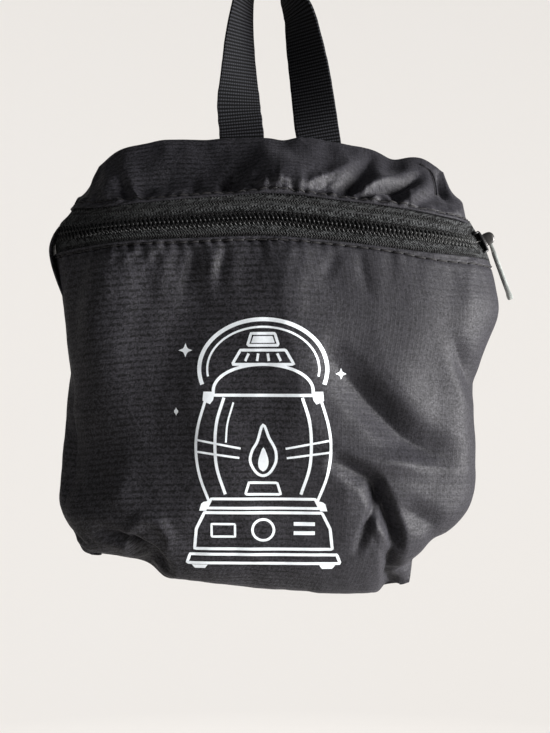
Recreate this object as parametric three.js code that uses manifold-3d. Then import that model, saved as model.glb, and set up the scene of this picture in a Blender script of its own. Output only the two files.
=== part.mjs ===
// A packable backpack folded into its own zipped pocket, hanging by its webbing loop.
// Millimetres. Origin: underside of the loop's top, where it bears. +X to the right seen from the front,
// -Y the front, +Z up.
import * as THREE from 'three';
import Module from 'manifold-3d';

const wasm = await Module();
wasm.setup();

// ---------- named sizes ----------
const CLOTH = 1.2;            // shell wall of the pocket's cloth panels
const TAPE_TOP = 1.6;         // tape's face, below the panels' face
const TAPE_UNDER = 2.4;       // tape's back
const SEAM_S = 1.22;          // where the side seam lies
const SEAM_GAP = 0.014;       // half of it each side
const WEB_W = 20.2, WEB_T = 1.3;
const BUNDLE_IN = 6.5;        // packed cloth below the panels' face
const COIL_W = 2.7, COIL_T = 1.9;

// ---------- sections: one row per level, from the crest down to the hem ----------
// name, x of the left and right outline, height at seven stations across, y of the front and of the back
const SECTIONS = [
  // name          xl     xr      z-1     z-2/3   z-1/3   z0      z1/3    z2/3    z1     front  back   centre
  ['crest',      -76.6,  80.4,  -81.9,  -69.3,  -67.3,  -68.0,  -69.1,  -76.1,  -85.2,   4.3,   7.7,   6.0],
  ['brow',       -81.4,  84.0,  -91.3,  -83.2,  -81.8,  -81.9,  -83.2,  -87.7,  -96.2, -13.0,  13.0,   1.5],
  ['upper_edge', -87.7,  91.2, -102.5, -100.6,  -98.2,  -96.8,  -99.6, -103.1, -108.3, -24.5,  15.5,  -1.5],
  ['coil',       -94.4,  94.4, -113.3, -110.6, -109.1, -107.7, -110.6, -113.8, -116.6, -29.0,  16.5,  -3.5],
  ['lower_edge', -94.9,  98.8, -122.3, -118.7, -117.3, -116.7, -119.2, -122.9, -125.0, -32.0,  17.0,  -4.0],
  ['shoulder',   -92.6, 102.4, -133.0, -130.4, -129.5, -128.7, -131.5, -134.7, -137.5, -34.5,  17.0,  -4.0],
  ['upper',      -90.4, 103.3, -146.5, -146.8, -145.9, -145.2, -146.5, -147.7, -147.9, -35.5,  17.0,  -4.0],
  ['middle',     -88.8,  94.3, -169.9, -169.4, -168.9, -168.3, -169.0, -169.7, -170.3, -36.5,  17.0,  -4.0],
  ['waist',      -90.4,  92.0, -192.3, -191.0, -190.6, -190.3, -189.2, -188.2, -187.9, -36.5,  17.0,  -4.0],
  ['lower',      -92.2,  92.9, -216.2, -213.0, -211.7, -210.7, -209.3, -208.1, -208.5, -36.0,  17.0,  -4.0],
  ['hip',        -92.6,  91.2, -233.2, -229.2, -229.3, -229.8, -228.9, -228.2, -230.5, -33.5,  16.0,  -4.0],
  ['turn',       -86.3,  82.2, -246.7, -246.8, -249.7, -251.2, -251.5, -251.0, -243.6, -27.0,  13.0,  -4.0],
  ['under',      -82.7,  68.7, -254.3, -254.2, -262.4, -264.2, -266.0, -267.0, -253.9, -17.0,   8.0,  -4.0],
  ['hem',        -78.7,  62.4, -256.6, -259.7, -267.9, -270.6, -272.1, -273.0, -266.5,  -4.7,  -2.1,  -3.4],
];
const ROW = Object.fromEntries(SECTIONS.map((r, i) => [r[0], i]));
const LAST = SECTIONS.length - 1;

// ---------- folds of the front: depth (negative goes in), half width, then x, z along it ----------
const FOLDS = [
  // name             depth  half  points
  ['right_valley',     -4.6,  12, [[30, -168], [46, -184], [60, -198], [76, -212]]],
  ['right_ridge',       2.4,  13, [[46, -162], [62, -178], [80, -192]]],
  ['low_ridge',         2.6,  10, [[34, -203], [56, -206], [84, -212]]],
  ['low_valley',       -5.0,   9, [[33, -211], [47, -221], [53, -247], [55, -262]]],
  ['corner_valley',    -3.4,  10, [[60, -232], [72, -240]]],
  ['left_fold',        -1.8,  14, [[-72, -136], [-76, -165], [-77, -196]]],
  ['left_bulge',        2.2,  16, [[-60, -215], [-68, -232]]],
  ['low_left_valley',  -4.4,  10, [[-66, -240], [-50, -247], [-42, -262]]],
  ['side_notch',       -3.0,   9, [[90, -181], [80, -158]]],
  ['top_valley',       -3.0,  10, [[10, -92], [34, -84], [52, -78]]],
  ['top_ridge',         2.6,   9, [[26, -94], [48, -88], [66, -84]]],
  ['top_left_valley',  -2.2,   9, [[-46, -92], [-26, -84], [-8, -80]]],
];

const cubic = (a, b, c, d, f) => b + 0.5 * f * (c - a + f * (2 * a - 5 * b + 4 * c - d + f * (3 * (b - c) + d - a)));
function along(get, count, t) {
  const i = Math.min(Math.max(Math.floor(t), 0), count - 2), f = t - i;
  const at = (k) => (k < 0 ? 2 * get(0) - get(-k) : k > count - 1 ? 2 * get(count - 1) - get(2 * (count - 1) - k) : get(k));
  return cubic(at(i - 1), at(i), at(i + 1), at(i + 2), f);
}
const column = (c, t) => along((i) => SECTIONS[i][c], SECTIONS.length, t);
const height = (u, t) => along((k) => column(3 + k, t), 7, (u + 1) * 3);

const bell = (d) => (Math.abs(d) >= 1 ? 0 : 0.5 * (1 + Math.cos(Math.PI * d)));
function fold(x, z) {
  let sum = 0;
  for (const [, depth, half, pts] of FOLDS) {
    let best = Infinity, taper = 1;
    for (let i = 0; i < pts.length - 1; i++) {
      const [ax, az] = pts[i], [bx, bz] = pts[i + 1];
      const lx = bx - ax, lz = bz - az, f = Math.min(Math.max(((x - ax) * lx + (z - az) * lz) / (lx * lx + lz * lz), 0), 1);
      const d = Math.hypot(x - ax - f * lx, z - az - f * lz);
      if (d < best) { best = d; taper = Math.sin(Math.PI * (0.14 + 0.78 * (i + f) / (pts.length - 1))); }
    }
    sum += depth * taper * bell(best / half);
  }
  return sum;
}

// the pocket's face: s is -1 at the left outline, 0 at the middle of the front, 1 at the right outline, 2 at the middle of the back
function bare(s, t) {
  const back = Math.abs(s) > 1, q = back ? Math.sign(s) * (2 - Math.abs(s)) : s;
  const u = Math.sin(Math.PI / 2 * q), n = back ? 4 : 3.2;
  const v = Math.sqrt(Math.max(1 - Math.abs(u) ** n, 0));
  const xl = column(1, t), xr = column(2, t), yc = column(12, t);
  const y = back ? yc + (column(11, t) - yc) * v : yc - (yc - column(10, t)) * v;
  return new THREE.Vector3((xl + xr) / 2 + u * (xr - xl) / 2, y, height(u, t));
}
function normal(s, t, f = bare) {
  const e = 0.01, g = 0.03, tb = Math.min(t + g, LAST), ta = Math.max(t - g, 0);
  const ds = f(s + e, t).sub(f(s - e, t)), dt = f(s, tb).sub(f(s, ta));
  return ds.cross(dt).normalize().negate();
}
function point(s, t, inward = 0, folds = 1) {
  const p = bare(s, t), n = normal(s, t);
  const front = Math.abs(s) < 1 ? Math.min((1 - Math.abs(s)) / 0.12, 1) : 0;
  return p.addScaledVector(n, folds * front * fold(p.x, p.z) - inward);
}

// ---------- mesh helpers ----------
function mesh(name, verts, faces, colour, rough, metal) {
  const g = new THREE.BufferGeometry();
  g.setAttribute('position', new THREE.BufferAttribute(new Float32Array(verts.flatMap((p) => [p.x, p.y, p.z])), 3));
  g.setIndex(faces);
  g.computeVertexNormals();
  const m = new THREE.Mesh(g, new THREE.MeshStandardMaterial({ color: colour, roughness: rough, metalness: metal, name }));
  m.name = name;
  return m;
}
// a curved plate: outer(i, j) and inner(i, j) grids of (nu+1) x (nv+1), closed round its four edges
function plate(nu, nv, outer, inner) {
  const verts = [], faces = [], id = (k, i, j) => k * (nu + 1) * (nv + 1) + j * (nu + 1) + i;
  for (const f of [outer, inner]) for (let j = 0; j <= nv; j++) for (let i = 0; i <= nu; i++) verts.push(f(i, j));
  for (let j = 0; j < nv; j++) for (let i = 0; i < nu; i++) {
    const a = id(0, i, j), b = id(0, i + 1, j), c = id(0, i + 1, j + 1), d = id(0, i, j + 1);
    faces.push(a, d, b, b, d, c);
    const e = id(1, i, j), f = id(1, i + 1, j), g = id(1, i + 1, j + 1), h = id(1, i, j + 1);
    faces.push(e, f, h, f, g, h);
  }
  const rim = (a, b, c, d) => faces.push(a, b, c, a, c, d);
  for (let i = 0; i < nu; i++) {
    rim(id(0, i, 0), id(0, i + 1, 0), id(1, i + 1, 0), id(1, i, 0));
    rim(id(0, i + 1, nv), id(0, i, nv), id(1, i, nv), id(1, i + 1, nv));
  }
  for (let j = 0; j < nv; j++) {
    rim(id(0, 0, j + 1), id(0, 0, j), id(1, 0, j), id(1, 0, j + 1));
    rim(id(0, nu, j), id(0, nu, j + 1), id(1, nu, j + 1), id(1, nu, j));
  }
  return { verts, faces };
}
// a bar swept through rings of points, its two ends closed
function swept(rings) {
  const m = rings[0].length, verts = rings.flat(), faces = [];
  for (let k = 0; k < rings.length - 1; k++) for (let i = 0; i < m; i++) {
    const a = k * m + i, b = k * m + (i + 1) % m, c = a + m, d = b + m;
    faces.push(a, b, c, b, d, c);
  }
  for (let i = 1; i < m - 1; i++) {
    faces.push(0, i + 1, i);
    const o = (rings.length - 1) * m;
    faces.push(o, o + i, o + i + 1);
  }
  return { verts, faces };
}
function outward({ verts, faces }) {
  let v = 0;
  for (let i = 0; i < faces.length; i += 3) v += verts[faces[i]].dot(verts[faces[i + 1]].clone().cross(verts[faces[i + 2]]));
  if (v < 0) for (let i = 0; i < faces.length; i += 3) [faces[i + 1], faces[i + 2]] = [faces[i + 2], faces[i + 1]];
  return { verts, faces };
}
const spread = (a, b, n, i) => a + (b - a) * i / n;

const root = new THREE.Group();
root.name = 'packed_backpack_pouch';
const add = (name, g, colour, rough = 0.8, metal = 0) => {
  const o = outward(g);
  root.add(mesh(name, o.verts, o.faces, colour, rough, metal));
};

// ---------- cloth panels ----------
const wall = (t) => CLOTH * (0.6 + 0.4 * Math.min(Math.min(t, LAST - t) / 0.5, 1));     // thinner into the crest and hem seams
function panel(name, middle, levels, nu) {
  const at = (i, j) => {
    const h = middle ? 2 - SEAM_S - SEAM_GAP : SEAM_S;
    return [middle + spread(-h, h, nu, i), levels[j]];
  };
  add(name, plate(nu, levels.length - 1, (i, j) => point(...at(i, j)), (i, j) => point(...at(i, j), wall(levels[j]))), 0x1d1d20, 0.62);
}
const steps = (a, b, n) => Array.from({ length: n + 1 }, (_, i) => spread(a, b, n, i));
const TOP = steps(0, ROW.upper_edge, 6), FRONT = steps(ROW.lower_edge, LAST, 18);
const ACROSS = 40;
panel('front_panel', 0, FRONT, ACROSS);
panel('top_panel', 0, TOP, ACROSS);
panel('back_panel', 2, [...TOP, 3, ...FRONT], 14);

// ---------- zipper: two tapes, two rows of coil ----------
const SLIDER_S = 1.0;
const part = (s) => 0.016 + 0.13 * Math.min(Math.max((s - SLIDER_S) / 0.04, 0), 1);   // half gap between the tapes, in rows
const ZS = SEAM_S - 0.012;
for (const [name, side, under] of [['zipper_tape_upper', -1, TOP[TOP.length - 2]], ['zipper_tape_lower', 1, FRONT[1]]]) {
  // each tape runs from the coil to one panel row under the panel's edge
  const at = (i, j) => {
    const s = Math.min(Math.max(spread(-SEAM_S, SEAM_S, ACROSS, i), -ZS), ZS);
    return [s, j === 3 ? under : ROW.coil + side * spread(part(s), 1, 2, j)];
  };
  add(name, plate(ACROSS, 3, (i, j) => point(...at(i, j), TAPE_TOP), (i, j) => point(...at(i, j), TAPE_UNDER)), 0x17171a, 0.9);
}
function coilFrame(s) {
  const o = point(s, ROW.coil), n = normal(s, ROW.coil);
  const T = point(s + 0.01, ROW.coil).sub(point(s - 0.01, ROW.coil)).normalize();
  const B = T.clone().cross(n).normalize();       // across the tape, downward on the front
  return { o, n, T, B: B.z > 0 ? B.negate() : B };
}
for (const [name, side] of [['zipper_coil_upper', -1], ['zipper_coil_lower', 1]]) {
  const rings = [], N = 42, low = -TAPE_TOP + 0.3;
  for (let k = 0; k <= N; k++) {
    const { o, n, B } = coilFrame(spread(-ZS + 0.02, SLIDER_S + 0.012, N, k));
    const prof = [[0.2, low], [0.2, low + COIL_T * 0.75], [0.2 + COIL_W * 0.3, low + COIL_T], [0.2 + COIL_W * 0.75, low + COIL_T], [0.2 + COIL_W, low + COIL_T * 0.6], [0.2 + COIL_W, low]];
    rings.push(prof.map(([b, h]) => o.clone().addScaledVector(B, side * b).addScaledVector(n, h)));
  }
  add(name, swept(rings), 0x26262a, 0.45);
}

// ---------- hang loop: flat webbing, its legs turned to face each other at the top ----------
const LOOP = [
  // x,     y,    z of the middle, turn of the width in degrees
  [-11.6,   6.0, -77.0,   0],
  [-11.7,   6.0, -67.0,   0],
  [-12.2,   5.9, -61.0,   4],
  [-13.0,   5.4, -52.4,  15],
  [-12.9,   4.4, -40.0,  36],
  [-12.7,   3.3, -30.1,  47],
  [-12.2,   2.2, -20.1,  56],
  [-11.4,   1.2, -12.5,  63],
  [-10.1,   0.5,  -5.1,  69],
  [ -7.4,   0.1,  -0.9,  78],
  [ -3.8,   0.0,   0.5,  85],
  [  0.0,   0.0,   0.7,  90],
  [  3.9,   0.0,   0.5,  96],
  [  7.9,   0.1,  -1.1, 104],
  [ 10.6,   0.5,  -5.1, 116],
  [ 13.2,   0.9, -10.1, 127],
  [ 14.8,   1.4, -14.4, 131],
  [ 16.7,   2.7, -24.7, 143],
  [ 19.2,   4.3, -38.7, 154],
  [ 21.5,   5.5, -54.8, 166],
  [ 22.4,   5.9, -61.5, 175],
  [ 23.5,   6.0, -68.0, 180],
  [ 24.8,   6.0, -78.0, 180],
];
{
  const g = (c, t) => along((i) => LOOP[i][c], LOOP.length, t);
  const N = 40, rings = [];
  for (let k = 0; k <= N; k++) {
    const t = spread(0, LOOP.length - 1, N, k), e = 0.05;
    const p = new THREE.Vector3(g(0, t), g(1, t), g(2, t));
    const a = Math.max(t - e, 0), b = Math.min(t + e, LOOP.length - 1);
    const T = new THREE.Vector3(g(0, b) - g(0, a), g(1, b) - g(1, a), g(2, b) - g(2, a)).normalize();
    const turn = g(3, t) * Math.PI / 180;
    const w = new THREE.Vector3(Math.cos(turn), Math.sin(turn), 0);
    w.addScaledVector(T, -w.dot(T)).normalize();
    const n = w.clone().cross(T).normalize();
    const at = (x, y) => p.clone().addScaledVector(w, x * WEB_W / 2).addScaledVector(n, y * WEB_T / 2);
    rings.push([at(-1, -0.35), at(-0.96, -1), at(-0.3, -1), at(0.3, -1), at(0.96, -1), at(1, -0.35), at(1, 0.35), at(0.96, 1), at(0.3, 1), at(-0.3, 1), at(-0.96, 1), at(-1, 0.35)]);
  }
  add('hang_loop', swept(rings), 0x161618, 0.85);
}

// ---------- packed cloth inside ----------
{
  const nu = 28, nv = 11, t0 = 1.7, t1 = 11.7, verts = [], faces = [];
  for (let j = 0; j <= nv; j++) for (let i = 0; i < nu; i++) {
    const s = -2 + 4 * (i + 0.5) / nu, t = spread(t0, t1, nv, j);
    verts.push(point(s, t, BUNDLE_IN, 0.8));
  }
  for (let j = 0; j < nv; j++) for (let i = 0; i < nu; i++) {
    const a = j * nu + i, b = j * nu + (i + 1) % nu, c = a + nu, d = b + nu;
    faces.push(a, b, c, b, d, c);
  }
  for (const [row, flip] of [[0, false], [nv, true]]) {
    const o = row * nu, c = new THREE.Vector3();
    for (let i = 0; i < nu; i++) c.add(verts[o + i]);
    c.multiplyScalar(1 / nu);
    verts.push(c);
    for (let i = 0; i < nu; i++) flip ? faces.push(verts.length - 1, o + i, o + (i + 1) % nu) : faces.push(verts.length - 1, o + (i + 1) % nu, o + i);
  }
  add('packed_bundle', { verts, faces }, 0x1a1a1d, 0.9);
}

// ---------- slider and pull ----------
const toManifold = (g) => new wasm.Manifold(new wasm.Mesh({ numProp: 3, vertProperties: new Float32Array(g.verts.flatMap((p) => [p.x, p.y, p.z])), triVerts: new Uint32Array(g.faces) }));
function fromManifold(m) {
  const o = m.getMesh(), verts = [];
  for (let i = 0; i < o.numVert; i++) verts.push(new THREE.Vector3(o.vertProperties[i * o.numProp], o.vertProperties[i * o.numProp + 1], o.vertProperties[i * o.numProp + 2]));
  return { verts, faces: Array.from(o.triVerts) };
}
const V3 = (x, y, z) => new THREE.Vector3(x, y, z);
// prism of an outline in (a, b), from c0 to c1, with map(a, b, c) giving the point
const prism = (outline, c0, c1, map) => outward(swept([c0, c1].map((c) => outline.map(([a, b]) => map(a, b, c)))));
const oval = (rx, ry, n, cx = 0, cy = 0, p = 2) => Array.from({ length: n }, (_, i) => {
  const w = 2 * Math.PI * (i + 0.5) / n, c = Math.cos(w), s = Math.sin(w);
  return [cx + rx * Math.sign(c) * Math.abs(c) ** (2 / p), cy + ry * Math.sign(s) * Math.abs(s) ** (2 / p)];
});
const F = coilFrame(SLIDER_S);
F.T = V3(0, 1, 0);
F.n = V3(F.n.x, 0, F.n.z).normalize();
F.B = V3(F.n.z, 0, -F.n.x);
const slot = (a, b, c) => F.o.clone().addScaledVector(F.T, a).addScaledVector(F.B, b).addScaledVector(F.n, c);
const BAIL = 5.7, BAR_R = 0.6;
{
  const body = oval(5.0, 5.2, 20, 0, 0, 3.2);
  const bits = [
    prism(body, 1.75, 2.85, (a, b, c) => slot(a, b, c)),
    prism(oval(3.5, 4.9, 20, 0, 0, 3.2), -4.7, -3.8, (a, b, c) => slot(a, b, c)),
    prism([[2.4, -0.5], [3.4, -0.5], [3.4, 0.5], [2.4, 0.5]], -4.2, 2.2, (a, b, c) => slot(a, b, c)),
  ];
  for (const e of [-1, 1]) bits.push(prism([[-4.4, e * 4.2], [3.6, e * 4.2], [3.6, e * 5.1], [-4.4, e * 5.1]].slice(), -0.5, 2.2, (a, b, c) => slot(a, b, c)));
  // arch that the pull hangs on: two feet and a bar along the zipper
  const arch = [[-4.1, 2.3], [-4.1, 3.6], [-3.6, 4.9], [-2.4, BAIL], [2.4, BAIL], [3.6, 4.9], [4.1, 3.6], [4.1, 2.3]];
  const rings = arch.map(([a, c], k) => {
    const p = arch[Math.max(k - 1, 0)], q = arch[Math.min(k + 1, arch.length - 1)];
    const ta = q[0] - p[0], tc = q[1] - p[1], l = Math.hypot(ta, tc);
    return Array.from({ length: 8 }, (_, i) => {
      const w = 2 * Math.PI * (i + 0.5) / 8, r = BAR_R;
      return slot(a - tc / l * r * Math.cos(w), r * Math.sin(w), c + ta / l * r * Math.cos(w));
    });
  });
  bits.push(outward(swept(rings)));
  let m = toManifold(bits[0]);
  for (const b of bits.slice(1)) m = m.add(toManifold(b));
  add('slider', fromManifold(m), 0x2c2c30, 0.3, 1);
}
// pull: an eye round the bar and a flat tab, seen on edge from the front, leaning 17 degrees outward
const PIVOT = slot(0, 0, BAIL);
{
  const lean = 18.5 * Math.PI / 180, down = V3(Math.sin(lean), 0, -Math.cos(lean)), side = V3(Math.cos(lean), 0, Math.sin(lean)), Y = V3(0, 1, 0);
  const at = (d, w, y) => PIVOT.clone().addScaledVector(down, d).addScaledVector(side, w).addScaledVector(Y, y);
  const sag = 0.4, ro = 2.5, ri = 1.4;
  const ring = (r, h) => prism(Array.from({ length: 24 }, (_, i) => [sag + r * Math.cos(Math.PI * i / 12), r * Math.sin(Math.PI * i / 12)]), -h, h, (a, b, c) => at(a, b, c));
  let m = toManifold(ring(ro, 1.3)).subtract(toManifold(ring(ri, 3)));
  const tab = [
    // distance down, half thickness, half width
    [sag + 1.9, 0.55, 1.2], [sag + 4.6, 0.55, 1.5], [sag + 6.5, 0.55, 2.1], [sag + 24.2, 0.55, 2.3], [sag + 25.4, 0.95, 2.4], [sag + 27.4, 1.0, 2.4], [sag + 28.1, 0.7, 2.0],
  ];
  const rings = tab.map(([d, h, w]) => [[-h, -w * 0.9], [-h * 0.8, -w], [h * 0.8, -w], [h, -w * 0.9], [h, w * 0.9], [h * 0.8, w], [-h * 0.8, w], [-h, w * 0.9]].map(([b, y]) => at(d, b, y)));
  m = m.add(toManifold(outward(swept(rings))));
  add('pull_tab', fromManifold(m), 0x8b8d8f, 0.35, 1);
}

export default root;
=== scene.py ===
import math

import bpy
import numpy as np
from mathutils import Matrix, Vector
from mathutils.bvhtree import BVHTree


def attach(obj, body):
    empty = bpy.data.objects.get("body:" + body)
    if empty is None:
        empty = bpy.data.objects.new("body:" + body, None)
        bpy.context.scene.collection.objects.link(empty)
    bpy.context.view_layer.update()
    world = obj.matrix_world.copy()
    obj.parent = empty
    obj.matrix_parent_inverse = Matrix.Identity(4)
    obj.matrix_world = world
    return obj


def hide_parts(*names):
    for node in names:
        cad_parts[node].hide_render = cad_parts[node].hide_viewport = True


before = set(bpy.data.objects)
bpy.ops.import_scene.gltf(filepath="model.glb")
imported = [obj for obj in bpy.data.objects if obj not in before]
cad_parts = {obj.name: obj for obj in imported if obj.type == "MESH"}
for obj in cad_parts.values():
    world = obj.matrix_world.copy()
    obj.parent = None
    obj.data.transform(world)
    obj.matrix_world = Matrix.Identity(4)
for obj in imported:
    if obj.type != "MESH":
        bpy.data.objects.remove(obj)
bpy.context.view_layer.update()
MM = 0.001

# ------------------------------------------------------------------ sizes, as in the CAD part
TAPE_TOP, TAPE_UNDER, CLOTH = 1.6, 2.4, 1.2
SEAM_S = 1.22
WEB_W, WEB_T = 20.2, 1.3
SECTIONS = [
    # name          xl     xr      z-1     z-2/3   z-1/3   z0      z1/3    z2/3    z1     front  back   centre
    ("crest", -76.6, 80.4, -81.9, -69.3, -67.3, -68.0, -69.1, -76.1, -85.2, 4.3, 7.7, 6.0),
    ("brow", -81.4, 84.0, -91.3, -83.2, -81.8, -81.9, -83.2, -87.7, -96.2, -13.0, 13.0, 1.5),
    ("upper_edge", -87.7, 91.2, -102.5, -100.6, -98.2, -96.8, -99.6, -103.1, -108.3, -24.5, 15.5, -1.5),
    ("coil", -94.4, 94.4, -113.3, -110.6, -109.1, -107.7, -110.6, -113.8, -116.6, -29.0, 16.5, -3.5),
    ("lower_edge", -94.9, 98.8, -122.3, -118.7, -117.3, -116.7, -119.2, -122.9, -125.0, -32.0, 17.0, -4.0),
    ("shoulder", -92.6, 102.4, -133.0, -130.4, -129.5, -128.7, -131.5, -134.7, -137.5, -34.5, 17.0, -4.0),
    ("upper", -90.4, 103.3, -146.5, -146.8, -145.9, -145.2, -146.5, -147.7, -147.9, -35.5, 17.0, -4.0),
    ("middle", -88.8, 94.3, -169.9, -169.4, -168.9, -168.3, -169.0, -169.7, -170.3, -36.5, 17.0, -4.0),
    ("waist", -90.4, 92.0, -192.3, -191.0, -190.6, -190.3, -189.2, -188.2, -187.9, -36.5, 17.0, -4.0),
    ("lower", -92.2, 92.9, -216.2, -213.0, -211.7, -210.7, -209.3, -208.1, -208.5, -36.0, 17.0, -4.0),
    ("hip", -92.6, 91.2, -233.2, -229.2, -229.3, -229.8, -228.9, -228.2, -230.5, -33.5, 16.0, -4.0),
    ("turn", -86.3, 82.2, -246.7, -246.8, -249.7, -251.2, -251.5, -251.0, -243.6, -27.0, 13.0, -4.0),
    ("under", -82.7, 68.7, -254.3, -254.2, -262.4, -264.2, -266.0, -267.0, -253.9, -17.0, 8.0, -4.0),
    ("hem", -78.7, 62.4, -256.6, -259.7, -267.9, -270.6, -272.1, -273.0, -266.5, -4.7, -2.1, -3.4),
]
ROW = {r[0]: i for i, r in enumerate(SECTIONS)}
LAST = len(SECTIONS) - 1
TABLE = np.array([r[1:] for r in SECTIONS], float)

# ------------------------------------------------------------------ folds of the front
# name, depth (negative goes in), half width, how creased (0 round, 1 sharp), then x, z along it, in mm
FOLDS = [
    ("right_valley", -7.0, 12, 0.45, [(28, -168), (44, -186), (59, -200), (74, -209)]),
    ("right_ridge", 1.2, 12, 0.45, [(46, -166), (62, -184), (84, -202)]),
    ("low_ridge", 3.1, 8, 0.45, [(32, -206), (47, -210), (60, -211), (84, -215)]),
    ("low_valley", -7.5, 7, 0.45, [(30, -210), (43, -218), (49, -229), (53, -240), (54, -252), (55, -264), (56, -280)]),
    ("narrow_crease", -3.1, 4, 0.45, [(47, -219), (46, -228), (41, -240), (38, -248)]),
    ("facet_ridge", 3.6, 5, 0.45, [(47, -236), (52, -246), (58, -256)]),
    ("corner_valley", -2.6, 9, 0.45, [(58, -230), (74, -240)]),
    ("main_ridge", 4.0, 34, 0.45, [(13, -110), (10, -124), (7, -138), (8, -150), (13, -172), (15, -188), (28, -208), (33, -220), (33, -239), (24, -256)]),
    ("left_ridge", 4.3, 20, 0.25, [(-58, -116), (-66, -130), (-72, -146), (-73, -164), (-75, -184)]),
    ("left_hollow", -1.8, 9, 0.3, [(-80, -126), (-83, -142), (-84, -160)]),
    ("low_left_hollow", -5.0, 44, 0.1, [(-50, -184), (-52, -206), (-50, -236)]),
    ("low_left_side", -6.0, 38, 0.1, [(-86, -190), (-86, -212), (-84, -236)]),
    ("shallow", -2.6, 24, 0.2, [(-34, -122), (-36, -146), (-46, -180), (-52, -205)]),
    ("top_mid_ridge", 3.2, 20, 0.15, [(9, -74), (9, -84), (8, -100), (8, -112)]),
    ("top_mid_valley", -2.8, 22, 0.3, [(-20, -76), (-19, -88), (-20, -102), (-20, -110)]),
    ("top_left_valley", -5.0, 36, 0.2, [(-44, -76), (-44, -86), (-42, -94)]),
    ("right_soft", -1.2, 17, 0.2, [(68, -174), (71, -190), (72, -210), (71, -232)]),
    ("right_edge", 1.7, 13, 0.1, [(91, -140), (88, -158), (85, -178), (84, -195), (84, -215), (81, -230)]),
    ("left_bulge", 1.2, 15, 0.45, [(-60, -215), (-68, -232)]),
    ("low_left_valley", -5.0, 6, 0.45, [(-72, -243), (-60, -246), (-52, -255), (-44, -262)]),
    ("hook_ridge", 1.8, 5, 0.45, [(-62, -250), (-60, -241), (-53, -235), (-46, -236), (-42, -243), (-43, -251)]),
    ("hook_pocket", -5.5, 5, 0.45, [(-56, -247), (-50, -251), (-44, -258)]),
    ("side_notch", -3.6, 8, 0.45, [(90, -181), (80, -158)]),
    ("gather_ridge_1", 1.8, 5, 0.6, [(14, -97), (21, -90), (31, -84), (42, -77)]),
    ("gather_ridge_1b", 1.6, 3.5, 0.6, [(20, -97), (26, -92), (34, -87)]),
    ("gather_crease_1", -1.8, 3, 0.7, [(17, -98), (23, -93), (29, -88)]),
    ("gather_valley_1", -3.6, 5, 0.45, [(21, -96), (27, -92), (34, -88)]),
    ("gather_valley_2", -5.2, 8, 0.45, [(30, -99), (35, -94), (40, -87), (47, -77)]),
    ("gather_ridge_3", 1.9, 5.5, 0.6, [(35, -99), (43, -92), (54, -87), (63, -84), (71, -82)]),
    ("gather_ridge_3b", 1.5, 3.5, 0.6, [(45, -99), (50, -95), (56, -92)]),
    ("gather_crease_3", -1.8, 3, 0.7, [(41, -99), (47, -94), (55, -90)]),
    ("gather_valley_4", -4.2, 5, 0.45, [(39, -100), (45, -95), (54, -92), (62, -89), (68, -85)]),
    ("gather_valley_5", -3.6, 5, 0.45, [(56, -101), (57, -96), (58, -93)]),
    ("gather_ridge_6", 1.8, 7, 0.45, [(61, -99), (67, -93), (74, -88)]),
    ("left_valley", -2.0, 5, 0.45, [(-62, -98), (-64, -91), (-67, -84)]),
    ("left_pleat", 1.7, 4, 0.45, [(-56, -101), (-57, -95), (-60, -90)]),
    ("left_valley_2", -2.2, 6, 0.45, [(-52, -99), (-53, -94), (-56, -89)]),
    ("mid_valley", -2.2, 6, 0.45, [(-31, -98), (-32, -93), (-33, -89)]),
    ("mid_ridge", 1.4, 5, 0.45, [(-23, -97), (-22, -93), (-23, -89)]),
    ("mid_valley_2", -3.6, 8, 0.45, [(-17, -97), (-16, -90), (-13, -82)]),
    ("mid_ridge_2", 1.5, 5, 0.45, [(-10, -96), (-9, -89), (-6, -84)]),
    ("mid_valley_3", -1.6, 4, 0.45, [(-6, -96), (-5, -91)]),
    ("mid_ridge_3", 1.3, 4, 0.45, [(-2, -95), (-0, -91)]),
    ("mid_ridge_4", 1.2, 4, 0.45, [(5, -96), (6, -90)]),
    ("mid_valley_5", -1.6, 4, 0.45, [(10, -96), (11, -92)]),
    ("flap_valley", -3.0, 4, 0.45, [(78, -85), (79, -91), (80, -96)]),
    ("pucker_light_1", 1.0, 5, 0.45, [(-42, -122), (-43, -128), (-44, -135)]),
    ("pucker_light_2", 1.0, 5, 0.45, [(-22, -120), (-22, -126), (-24, -132)]),
    ("pucker_dark_1", -1.3, 5, 0.45, [(-30, -121), (-32, -128), (-34, -137)]),
    ("pucker_dark_2", -1.2, 5, 0.45, [(-17, -122), (-19, -128), (-20, -137)]),
    ("pucker_dark_3", -0.5, 4, 0.45, [(40, -122), (41, -130), (44, -140)]),
    ("pucker_dark_4", -0.8, 4, 0.45, [(-60, -121), (-64, -127), (-69, -130)]),
    ("pucker_dark_5", -0.7, 4, 0.45, [(-52, -121), (-55, -125), (-58, -128)]),
    ("pucker_dark_6", -0.7, 4, 0.45, [(-45, -122), (-49, -128)]),
    ("pucker_dark_7", -0.7, 5, 0.45, [(31, -122), (27, -129), (24, -136)]),
]


def along(vals, t):
    """Smooth curve through rows of vals at row number t; vals is (rows, ...)."""
    vals = np.asarray(vals, float)
    n = len(vals)
    ext = np.concatenate([2 * vals[:1] - vals[1:2], vals, 2 * vals[-1:] - vals[-2:-1]])
    i = np.clip(np.floor(t).astype(int), 0, n - 2)
    f = t - i
    if ext.ndim > 1:
        f = f[..., None]
    a, b, c, d = ext[i], ext[i + 1], ext[i + 2], ext[i + 3]
    return b + 0.5 * f * (c - a + f * (2 * a - 5 * b + 4 * c - d + f * (3 * (b - c) + d - a)))


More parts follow.
